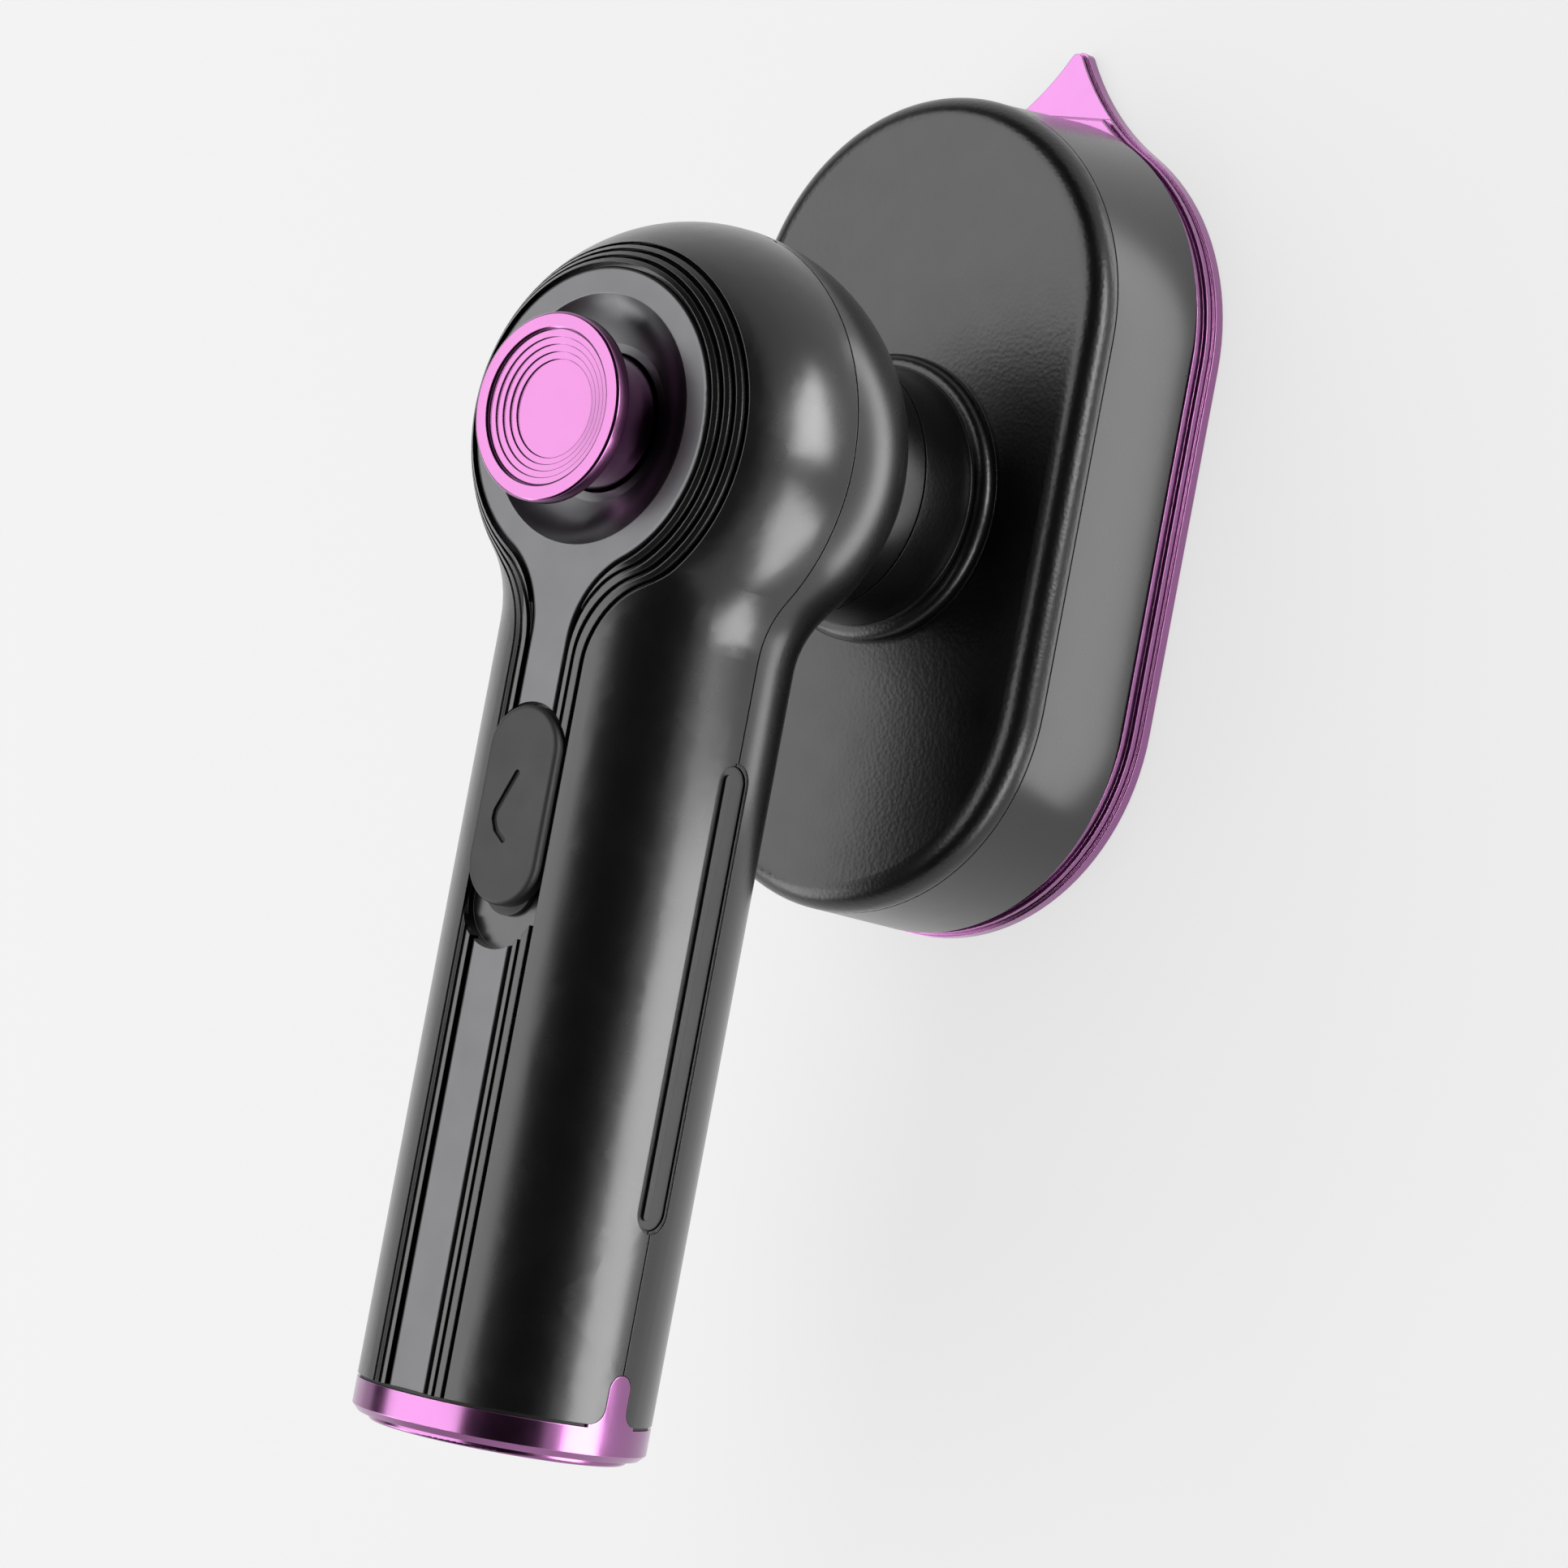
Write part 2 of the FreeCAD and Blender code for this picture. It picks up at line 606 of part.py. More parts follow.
def slab(z0, z1):
    """Everything between two heights."""
    return box((-FAR, FAR), (-FAR, FAR), (z0, z1))


def blank_casings(outer):
    """Front and rear halves of the hollow form, with the rings that hold the tank."""
    hollow = form(WALL).fuse(neck(WALL, SPINDLE_SEAT))
    shell = outer.cut(hollow.common(slab(0, CEILING_Z)))
    for x in RIBS:
        rib = pipe(HANDLE_R - WALL / 2, TANK_R + SEAT, (x, 0, AXIS_Z), (x + RIB_T, 0, AXIS_Z))
        shell = shell.fuse(rib)
    front = shell.common(slab(AXIS_Z + JOINT_GAP / 2, FAR))
    rear = shell.common(slab(0, AXIS_Z - JOINT_GAP / 2))
    return front, rear


def cap_post(side):
    """Post in one casing half that takes a screw of the end cap, with its web."""
    z = AXIS_Z + side * CAP_SCREW_Z
    post = rod(CAP_POST_R, (CAP_LOW + CAP_FLOOR + SEAT, 0, z), (CAP_POST_END, 0, z))
    web = box((CAP_POST_END - CAP_POST_WEB, CAP_POST_END), (-CAP_POST_R, CAP_POST_R),
              sorted((z, AXIS_Z + side * (HANDLE_R - WALL / 2))))
    pilot = rod(SCREW_R + RUN, (CAP_LOW, 0, z), (CAP_POST_END + 1, 0, z))
    return post.fuse(web), pilot


def add_bosses(front, rear):
    """Screw bosses of the casings, posts for the circuit board and for the end cap."""
    joint_high = AXIS_Z + JOINT_GAP / 2
    joint_low = AXIS_Z - JOINT_GAP / 2
    for x, y in BOSSES:
        front = front.fuse(upright(BOSS_R, x, y, (joint_high, CEILING_Z + BOSS_ROOT)))
        reach = math.sqrt((HANDLE_R - WALL) ** 2 - y ** 2) + WALL / 2
        rear = rear.fuse(upright(BOSS_R, x, y, (AXIS_Z - reach, joint_low)))
    for x, y in PCB_POSTS:
        front = front.fuse(upright(POST_R, x, y, (PCB_TOP, CEILING_Z + BOSS_ROOT)))
        front = front.cut(upright(SCREW_R + RUN, x, y, (PCB_TOP - 1, PCB_TOP + BOARD_SCREW_GRIP)))
    for x, y in BOSSES:
        front = front.cut(upright(SCREW_R + RUN, x, y, (AXIS_Z - 1, AXIS_Z + SHELL_SCREW_GRIP + 1)))
        rear = rear.cut(upright(SCREW_R + RUN, x, y, (0, AXIS_Z + 1)))
        rear = rear.cut(upright(SCREW_HEAD_R + SEAT, x, y, (0, SHELL_SCREW_Z)))
    post, pilot = cap_post(1)
    front = front.fuse(post).cut(pilot)
    post, pilot = cap_post(-1)
    rear = rear.fuse(post).cut(pilot)
    return front, rear


def add_tongue(front, rear):
    """Tongue of the rear casing inside the front one, clear of the bosses."""
    tongue = wand(WALL - LIP_T).cut(wand(WALL))
    reach = box((HANDLE_END + CAP_SPIGOT_L + 1, FAR), (-FAR, FAR), (AXIS_Z - 2, AXIS_Z + LIP_H))
    rear = rear.fuse(tongue.common(reach))
    seat = wand(WALL - LIP_T - SEAT).common(slab(AXIS_Z, AXIS_Z + LIP_H + SEAT))
    for x, y in BOSSES:
        seat = seat.cut(upright(BOSS_R, x, y, (AXIS_Z + JOINT_GAP / 2, CEILING_Z)))
        rear = rear.cut(upright(BOSS_R + SEAT, x, y, (AXIS_Z, AXIS_Z + LIP_H + 1)))
    post, pilot = cap_post(1)
    return front.cut(seat.cut(post)), rear


def casings():
    """Front and rear casing halves."""
    outer = form(0.0).fuse(neck(0.0, HANDLE_NECK_Z))
    front, rear = add_bosses(*blank_casings(outer))
    reach = HANDLE_R - WALL - SEAT
    limit = outer.fuse(rod(reach, (CAP_LOW + CAP_FLOOR, 0, AXIS_Z), (HANDLE_END, 0, AXIS_Z)))
    front, rear = add_tongue(front.common(limit), rear.common(limit))

    # pocket for the trim, with an opening for the dish, and the grooves round it
    front = front.cut(keyhole(TRIM_DISC_R, TRIM_HALF_W, (TRIM_FLOOR, FAR), GROOVE_W))
    front = front.cut(upright(DISH_R + DISH_SKIN, 0, 0, (AXIS_Z, FAR)))
    core = form(GROOVE_DEPTH)
    for disc, half in GROOVES:
        ring = keyhole(disc, half, (AXIS_Z, FAR), GROOVE_W / 2)
        ring = ring.cut(keyhole(disc, half, (AXIS_Z - 1, FAR + 1), -GROOVE_W / 2))
        front = front.cut(ring.cut(core))

    # track of the slide switch
    front = front.cut(stadium(TRACK_L, TRACK_W, (TRACK_FLOOR, FAR), TRACK_X))
    front = front.cut(box(STEM_SLOT_X, (-SLIDE_STEM_W / 2 - GAP, SLIDE_STEM_W / 2 + GAP),
                          (CEILING_Z - 1, TRACK_FLOOR + 1)))

    # side channels, tab notches, filler hole and spindle hole
    for side in (1, -1):
        deep = side_slot(side, SLOT_W, HANDLE_R + 2, HANDLE_R - SLOT_DEPTH)
        wide = side_slot(side, SLOT_W + 2 * SLOT_BEVEL, HANDLE_R + 2,
                         HANDLE_R - SLOT_BEVEL, -2 * SLOT_BEVEL)
        notch = cap_tab(side, SEAT)
        front = front.cut([deep, wide, notch])
        rear = rear.cut([deep, wide, notch])
    rear = rear.cut(upright(FILLER_R + SEAT, FILLER_X, 0, (0, AXIS_Z)))
    rear = rear.cut(upright(PLUG_FLANGE_R + GAP, FILLER_X, 0, (0, PLUG_SEAT)))
    rear = rear.cut(upright(SPINDLE_R + GAP, 0, 0, (0, SPINDLE_SEAT + 1)))
    rear = rear.cut(upright(STOP_PIN_R, -STOP_R, 0, (0, SPINDLE_SEAT + 1)))
    for x, y in SPINDLE_SCREWS:
        rear = rear.cut(upright(SCREW_R + RUN, x, y, (HANDLE_NECK_Z + SPINDLE_PILOT_SKIN, SPINDLE_SEAT + 1)))
    return front, rear


def face_trims():
    """Keyhole trim with a dish round the knob's stem, and the stripe below the switch."""
    trim = keyhole(TRIM_DISC_R, TRIM_HALF_W, (TRIM_FLOOR + SEAT, FACE_Z))
    rim = [e for e in top_edges(trim, FACE_Z) if e.BoundBox.XMin > HANDLE_END + 1]
    trim = trim.makeFillet(TRIM_ROLL, rim)
    floor = FACE_Z - DISH_DEPTH
    under = floor - DISH_SKIN
    bowl = spin([(0, under), (DISH_FLOOR_R + 1, under), (DISH_R + DISH_SKIN - SEAT, TRIM_FLOOR),
                 (DISH_R + DISH_SKIN - SEAT, TRIM_FLOOR + 2 * SEAT), (0, TRIM_FLOOR + 2 * SEAT)])
    trim = trim.fuse(bowl)
    sag = DISH_DEPTH * DISH_SAG
    mid_r = (DISH_R + DISH_FLOOR_R) / 2
    profile = loop([
        line(Vector(0, 0, floor), Vector(DISH_FLOOR_R, 0, floor)),
        arc(Vector(DISH_FLOOR_R, 0, floor), Vector(mid_r, 0, FACE_Z - sag), Vector(DISH_R, 0, FACE_Z)),
        line(Vector(DISH_R, 0, FACE_Z), Vector(DISH_R, 0, KNOB_TOP)),
        line(Vector(DISH_R, 0, KNOB_TOP), Vector(0, 0, KNOB_TOP)),
        line(Vector(0, 0, KNOB_TOP), Vector(0, 0, floor))])
    trim = trim.cut(profile.revolve(Vector(0, 0, 0), Vector(0, 0, 1), 360))
    trim = trim.cut(upright(STEM_R + GAP, 0, 0, (under - 1, FACE_Z)))
    trim = trim.cut(stadium(TRACK_L, TRACK_W, (0, FAR), TRACK_X))
    upper = box((TRACK_X, FAR), (-FAR, FAR), (0, FAR))
    return trim.common(upper), trim.cut(upper)


def steam_knob():
    """Press knob with a stepped, recessed face on a hollow stem."""
    low = KNOB_TOP - KNOB_T
    foot = FACE_Z - DISH_DEPTH - DISH_SKIN - STEM_FOOT
    ring = KNOB_R - KNOB_RING
    pitch = (ring - KNOB_STEP_DROP - KNOB_DISC_R) / KNOB_STEPS
    points = [(0, KNOB_CEILING), (STEM_BORE, KNOB_CEILING), (STEM_BORE, foot), (STEM_R, foot),
              (STEM_R, low), (KNOB_R - KNOB_EDGE, low), (KNOB_R, low + KNOB_EDGE),
              (KNOB_R, KNOB_TOP - KNOB_EDGE), (KNOB_R - KNOB_EDGE, KNOB_TOP), (ring, KNOB_TOP)]
    r = ring - KNOB_STEP_DROP
    z = KNOB_TOP - KNOB_STEP_DROP
    points.append((r, z))
    for i in range(KNOB_STEPS):
        points.append((r, z - KNOB_STEP_DROP))
        r = r - pitch
        z = z - KNOB_STEP_DROP
        points.append((r, z))
    points.append((0, z))
    return spin(points)


def pump():
    """Plunger pump on the swivel axis, under the knob."""
    cap_low = PUMP_TOP - PUMP_CAP_T
    body = pipe(PUMP_R, PUMP_BORE, (0, 0, PUMP_SEAT_Z), (0, 0, cap_low))
    body = body.fuse(upright(PUMP_R, 0, 0, (PUMP_SEAT_Z, PUMP_SEAT_Z + PUMP_FLOOR)))
    body = body.fuse(rod(TUBE_BORE - RUN, (0, 0, PUMP_SEAT_Z - SPIGOT_L), (0, 0, PUMP_SEAT_Z)))
    inlet = rod(TUBE_BORE - RUN, (-PUMP_R - SPIGOT_L, 0, SUCTION_Z),
                (-PUMP_BORE - SPIGOT_ROOT, 0, SUCTION_Z))
    body = body.fuse(inlet)
    cap = pipe(PUMP_R, ROD_R + RUN, (0, 0, cap_low), (0, 0, PUMP_TOP))
    mount = upright(PUMP_MOUNT_R, 0, 0, (PUMP_SEAT_Z - PUMP_MOUNT_T, PUMP_SEAT_Z))
    mount = mount.cut(upright(TUBE_R + GAP, 0, 0, (0, PUMP_SEAT_Z + 1)))
    loom_half = WIRE_PITCH + WIRE_R + GAP
    mount = mount.cut(box((-FAR, LOOM_X + WIRE_R + GAP), (-loom_half, loom_half + LOOM_SHIFT), (0, FAR)))
    low = PUMP_SEAT_Z + PUMP_FLOOR + PRESS + 1.0
    seal_z = (low + PISTON_T, low + PISTON_T + SEAL_T)
    plunger = upright(ROD_R, 0, 0, (low, KNOB_CEILING))
    for z in (low, seal_z[1]):
        plunger = plunger.fuse(upright(PUMP_BORE - GAP, 0, 0, (z, z + PISTON_T)))
    seal = pipe(PUMP_BORE - RUN, ROD_R, (0, 0, seal_z[0]), (0, 0, seal_z[1]))
    return body, cap, mount, plunger, seal


def pump_spring():
    """Compression spring between the pump's cap and the knob, in tilted half turns."""
    low = PUMP_TOP + SPRING_WIRE / 2 + RUN
    high = KNOB_CEILING - SPRING_WIRE / 2 - RUN
    radius = (ROD_R + STEM_BORE) / 2
    rise = (high - low) / (2 * SPRING_TURNS)
    turns = []
    for i in range(2 * SPRING_TURNS):
        side = 1 - 2 * (i % 2)
        start = Vector(side * radius, 0, low + i * rise)
        end = Vector(-side * radius, 0, low + (i + 1) * rise)
        section = Part.Face(Part.Wire(Part.makeCircle(SPRING_WIRE / 2, start, Vector(0, 1, 0))))
        axis = Vector(side * rise, 0, 2 * radius)
        turns.append(section.revolve((start + end) / 2, axis, 180))
    return turns[0].fuse(turns[1:])


def slide_switch():
    """Thumb button with its shoe, carriage and switch."""
    low = TRACK_FLOOR + SHOE_T + SEAT
    pad = stadium(BUTTON_L, BUTTON_W, (low, BUTTON_TOP), BUTTON_X)
    pad = pad.makeFillet(BUTTON_EDGE, top_edges(pad, BUTTON_TOP))
    mark_z = (BUTTON_TOP - BUTTON_MARK_DEPTH, BUTTON_TOP + 1)
    for a, b in zip(BUTTON_MARK, BUTTON_MARK[1:]):
        run = math.dist(a, b)
        stroke = stadium(run + BUTTON_MARK_W, BUTTON_MARK_W, mark_z, run / 2)
        stroke.rotate(Vector(0, 0, 0), Vector(0, 0, 1), math.degrees(math.atan2(b[1] - a[1], b[0] - a[0])))
        stroke.translate(Vector(BUTTON_X + a[0], a[1], 0))
        pad = pad.cut(stroke)
    shoe = stadium(BUTTON_L + SHOE_OVER - SHOE_BACK, SHOE_W, (TRACK_FLOOR + SEAT, low),
                   BUTTON_X - (SHOE_OVER + SHOE_BACK) / 2)
    stem = box((BUTTON_X - SLIDE_STEM_L / 2, BUTTON_X + SLIDE_STEM_L / 2),
               (-SLIDE_STEM_W / 2, SLIDE_STEM_W / 2), (CEILING_Z - CARRIAGE_T, TRACK_FLOOR + SEAT))
    top = CEILING_Z - SEAT
    lever = box((BUTTON_X - LEVER_W / 2, BUTTON_X + LEVER_W / 2), (-LEVER_W / 2, LEVER_W / 2),
                (PCB_TOP + SWITCH_H + SEAT, CEILING_Z - CARRIAGE_T))
    button = pad.fuse([shoe, stem, lever]).removeSplitter()
    carriage = box((BUTTON_X - CARRIAGE_L / 2, BUTTON_X + CARRIAGE_L / 2),
                   (-CARRIAGE_W / 2, CARRIAGE_W / 2), (top - CARRIAGE_T, top))
    pocket = box((BUTTON_X - SLIDE_STEM_L / 2 - RUN, BUTTON_X + SLIDE_STEM_L / 2 + RUN),
                 (-SLIDE_STEM_W / 2 - RUN, SLIDE_STEM_W / 2 + RUN), (top - CARRIAGE_T - 1, top + 1))
    carriage = carriage.cut(pocket)
    body_x = BUTTON_X - SLIDE / 2
    body = box((body_x - SWITCH_L / 2, body_x + SWITCH_L / 2), (-SWITCH_W / 2, SWITCH_W / 2),
               (PCB_TOP, PCB_TOP + SWITCH_H))
    return button, carriage, body


def circuit_board():
    """Control board under the switch, its parts and its screws."""
    board = box(PCB_X, (-PCB_W / 2, PCB_W / 2), (PCB_TOP - PCB_T, PCB_TOP))
    for x, y in PCB_POSTS:
        board = board.cut(upright(SCREW_R + SEAT, x, y, (0, FAR)))
    relay = box(RELAY_X, (-RELAY_W / 2, RELAY_W / 2), (PCB_TOP - PCB_T - RELAY_H, PCB_TOP - PCB_T))
    screws = [screw(x, y, PCB_TOP - PCB_T, PCB_T + BOARD_SCREW_GRIP - 1, up=True) for x, y in PCB_POSTS]
    return board, relay, Part.makeCompound(screws)


def water_tank():
    """Tank in the lower handle, its suction tube and its filler plug."""
    x0, x1 = TANK_X
    tank = rod(TANK_R, (x0, 0, AXIS_Z), (x1, 0, AXIS_Z))
    tank = tank.common(box((-FAR, 0), (-FAR, FAR), (0, CEILING_Z - SEAT)))
    tank = tank.fuse(upright(FILLER_R, FILLER_X, 0, (PLUG_SEAT, AXIS_Z)))
    spout = rod(TUBE_BORE - RUN, (x1 - 1, 0, SUCTION_Z), (x1 + SPIGOT_L, 0, SUCTION_Z))
    tank = tank.fuse(spout)
    water = rod(TANK_R - TANK_WALL, (x0 + TANK_WALL, 0, AXIS_Z), (x1 - TANK_WALL, 0, AXIS_Z))
    tank = tank.cut(water.common(box((-FAR, 0), (-FAR, FAR), (0, CEILING_Z - SEAT - TANK_WALL))))
    tank = tank.cut(upright(FILLER_BORE, FILLER_X, 0, (0, AXIS_Z)))
    hose = pipe(TUBE_R, TUBE_BORE, (x1 + SEAT, 0, SUCTION_Z), (-PUMP_R - SEAT, 0, SUCTION_Z))
    low = PLUG_SEAT - PLUG_FLANGE_T
    plug = upright(FILLER_BORE - SEAT, FILLER_X, 0, (PLUG_SEAT - SEAT, PLUG_SEAT + PLUG_L))
    flange = upright(PLUG_FLANGE_R, FILLER_X, 0, (low, PLUG_SEAT - SEAT))
    flange = flange.makeFillet(PLUG_EDGE, top_edges(flange, low))
    ear = box((FILLER_X + PLUG_FLANGE_R - EAR_ROOT, FILLER_X + PLUG_FLANGE_R + EAR_REACH),
              (-EAR_W / 2, EAR_W / 2), (low - EAR_T, low + SEAT))
    return tank, hose, plug.fuse([flange, ear])


def side_strips():
    """Soft strips in the side channels, each with one raised bar."""
    strips = []
    for side in (1, -1):
        floor = HANDLE_R - SLOT_DEPTH + SEAT
        base = side_slot(side, SLOT_W - 2 * SEAT, floor + STRIP_T, floor, 2 * SEAT)
        bar = side_slot(side, STRIP_BAR_W, HANDLE_R - STRIP_SINK, floor, STRIP_BAR_SHORT)
        bar.translate(Vector(0, 0, STRIP_BAR_Z))
        strips.append(base.fuse(bar).removeSplitter())
    return strips


def long_edges(shape, least):
    """Edges of a shape that run along X for more than a length."""
    return [e for e in shape.Edges if e.BoundBox.XLength > least]


def inlet_box(x, width, height, radius):
    """Oblong bar along X with rounded corners, centred on the handle axis."""
    bar = box(x, (-width / 2, width / 2), (AXIS_Z - height / 2, AXIS_Z + height / 2))
    return bar.makeFillet(radius, long_edges(bar, (x[1] - x[0]) / 2))


def end_cap():
    """Anodised end cap with two tabs, and its gasket."""
    bore = HANDLE_R - WALL
    gasket = pipe(HANDLE_R - CAP_GASKET_INSET, bore, (HANDLE_END, 0, AXIS_Z), (CAP_TOP, 0, AXIS_Z))
    cap = rod(HANDLE_R, (CAP_TOP, 0, AXIS_Z), (CAP_TOP - CAP_WALL_L, 0, AXIS_Z))
    chamfer = Part.makeCone(HANDLE_R, HANDLE_R - CAP_CHAMFER, CAP_CHAMFER,
                            Vector(CAP_TOP - CAP_WALL_L, 0, AXIS_Z), Vector(-1, 0, 0))
    foot = rod(CAP_FOOT_R, (CAP_LOW, 0, AXIS_Z), (CAP_FOOT, 0, AXIS_Z))
    foot = foot.makeFillet(CAP_FOOT_L / 2, [e for e in foot.Edges if e.BoundBox.XMax < CAP_FOOT + RUN])
    spigot = rod(bore - SEAT, (CAP_TOP, 0, AXIS_Z), (HANDLE_END + CAP_SPIGOT_L, 0, AXIS_Z))
    cap = cap.fuse([chamfer, foot, spigot.common(slab(0, CEILING_Z - SEAT))])
    cap = cap.cut(rod(bore - SEAT - CAP_SPIGOT_T, (CAP_LOW + CAP_FLOOR, 0, AXIS_Z),
                      (HANDLE_END + CAP_SPIGOT_L + 1, 0, AXIS_Z)))
    wall = pipe(HANDLE_R, bore - SEAT, (CAP_TOP, 0, AXIS_Z), (HANDLE_END + CAP_SPIGOT_L + 2, 0, AXIS_Z))
    for side in (1, -1):
        cap = cap.fuse(cap_tab(side, 0.0).common(wall))
        gasket = gasket.cut(cap_tab(side, SEAT))
    cap = cap.cut(upright(BOSS_R + GAP, BOSSES[-1][0], 0, (0, FAR)))
    cap = cap.cut(inlet_box((CAP_FOOT - 1, CAP_LOW + CAP_FLOOR + 1), INLET_W + 2 * SEAT,
                            INLET_H + 2 * SEAT, INLET_CORNER + SEAT))
    for side in (1, -1):
        z = AXIS_Z + side * CAP_SCREW_Z
        cap = cap.cut(rod(SCREW_R + SEAT, (CAP_FOOT - 1, 0, z), (HANDLE_END, 0, z)))
        cap = cap.cut(rod(SCREW_HEAD_R + SEAT, (CAP_FOOT - 1, 0, z), (CAP_LOW + CAP_SCREW_SINK, 0, z)))
    return cap, gasket


def power_inlet():
    """Power inlet with its two pins, and the screws of the end cap beside it."""
    x = (CAP_FOOT + INLET_SINK, CAP_FOOT + INLET_SINK + INLET_DEPTH + INLET_BACK)
    body = inlet_box(x, INLET_W, INLET_H, INLET_CORNER)
    flange = box((CAP_LOW + CAP_FLOOR + SEAT, CAP_LOW + CAP_FLOOR + INLET_FLANGE_T),
                 (-INLET_W / 2 - INLET_FLANGE, INLET_W / 2 + INLET_FLANGE),
                 (AXIS_Z - INLET_H / 2 - INLET_FLANGE, AXIS_Z + INLET_H / 2 + INLET_FLANGE))
    socket = inlet_box((CAP_FOOT - 1, x[1] - INLET_BACK), INLET_SOCKET_W, INLET_SOCKET_H,
                       INLET_SOCKET_CORNER)
    inlet = body.fuse(flange).cut(socket)
    pins = []
    screws = []
    bearing = CAP_LOW + CAP_SCREW_SINK
    for side in (1, -1):
        y = side * PIN_PITCH / 2
        inlet = inlet.cut(rod(PIN_R, (CAP_FOOT, y, AXIS_Z), (x[1] + 1, y, AXIS_Z)))
        pins.append(rod(PIN_R, (CAP_FOOT + PIN_SINK, y, AXIS_Z), (x[1] + PIN_TAIL, y, AXIS_Z)))
        z = AXIS_Z + side * CAP_SCREW_Z
        head = rod(SCREW_HEAD_R, (bearing - SCREW_HEAD_T, 0, z), (bearing, 0, z))
        slot = box((bearing - SCREW_HEAD_T, bearing - SCREW_HEAD_T / 2),
                   (-SCREW_HEAD_R, SCREW_HEAD_R), (z - SLOT_HALF, z + SLOT_HALF))
        shank = rod(SCREW_R, (bearing, 0, z), (CAP_POST_END, 0, z))
        screws.append(head.cut(slot).fuse(shank))
    return inlet, Part.makeCompound(pins), Part.makeCompound(screws)


# --- Ironing head -------------------------------------------------------------------
def toe_outline(inset, z):
    """Face of the sole's outline: a stadium with a pointed toe with hollow sides."""
    r = RIM_W / 2
    s = (RIM_L - RIM_W) / 2
    a = r + TOE_HOLLOW
    b = TOE_TIP_R + TOE_HOLLOW
    d = TOE_X - TOE_TIP_R - s
    px = (a * a - b * b + d * d) / (2 * d)
    py = math.sqrt(a * a - px * px)
    r = r - inset
    hollow = TOE_HOLLOW + inset
    tip_r = max(TOE_TIP_R - inset, TOE_TIP_LEAST)
    b = tip_r + hollow
    tip_x = s + px + math.copysign(math.sqrt(b * b - py * py), d - px)

    def side(k):
        centre = Vector(s + px, k * py, z)
        on_rim = Vector(s + px * r / a, k * py * r / a, z)
        on_tip = Vector(tip_x + (s + px - tip_x) * tip_r / b, k * py * tip_r / b, z)
        chord = on_rim - centre + on_tip - centre
        return on_rim, centre + chord * (hollow / chord.Length), on_tip

    rim_a, mid_a, tip_a = side(1)
    rim_b, mid_b, tip_b = side(-1)

    def on_arc(k):
        half = (math.atan2(rim_a.y, rim_a.x - s) + math.pi / 2) / 2
        return Vector(s + r * math.cos(half), k * r * math.sin(half), z)

    shoulder_a = Vector(s, r, z)
    shoulder_b = Vector(s, -r, z)
    heel_a = Vector(-s, r, z)
    heel_b = Vector(-s, -r, z)
    return loop([
        line(heel_a, shoulder_a), arc(shoulder_a, on_arc(1), rim_a), arc(rim_a, mid_a, tip_a),
        arc(tip_a, Vector(tip_x + tip_r, 0, z), tip_b), arc(tip_b, mid_b, rim_b),
        arc(rim_b, on_arc(-1), shoulder_b), line(shoulder_b, heel_b),
        arc(heel_b, Vector(-s - r, 0, z), heel_a)]).translated(Vector(RIM_X, 0, 0))


def sole():
    """Ironing plate with steam holes, and the ridged rim round it."""
    plate = toe_outline(SOLE_INSET, 0).extrude(Vector(0, 0, SOLE_T))
    span = RIM_W / 2 - STEAM_ARC_INSET
    steps = range(-STEAM_ARC_SIDE, STEAM_ARC_SIDE + 1)
    angles = [math.radians(90 + k * STEAM_ARC_STEP) for k in steps]
    holes = [((RIM_L - RIM_W) / 2 + span * math.sin(a), span * math.cos(a)) for a in angles]
    for i in range(STEAM_ROW_HOLES):
        x = STEAM_ROW_X + i * STEAM_ROW_PITCH
        holes.extend([(x, STEAM_ROW_Y), (x, -STEAM_ROW_Y)])
    for x, y in holes:
        plate = plate.cut(upright(STEAM_HOLE_R, x, y, (-1, SOLE_T + 1)))
    z = RIM_LIFT
    layers = []
    for height, inset in RIM_LAYERS:
        layers.append(toe_outline(inset, z).extrude(Vector(0, 0, height)))
        z += height
    rim = layers[0].fuse(layers[1:])
    rim = rim.cut(toe_outline(SOLE_INSET - SEAT, 0).extrude(Vector(0, 0, SOLE_T + SEAT)))
    rim = rim.cut(stadium(RIM_L - 2 * RIM_LEDGE, RIM_W - 2 * RIM_LEDGE, (0, RIM_TOP + 1), RIM_X))

    # flat upper face of the toe and the riser behind it
    top = RIM_TOP + 1
    profile = [(BAND_FRONT + TOE_RISER[0], top), (BAND_FRONT + TOE_RISER[0], RIM_TOP),
               (BAND_FRONT + TOE_RISER[1], TOE_TOP), (FAR, TOE_TOP), (FAR, top)]
    corners = [Vector(x, -RIM_W, z) for x, z in profile]
    slope = Part.Face(Part.makePolygon(corners + corners[:1]))
    return plate, rim.cut(slope.extrude(Vector(0, 2 * RIM_W, 0)))


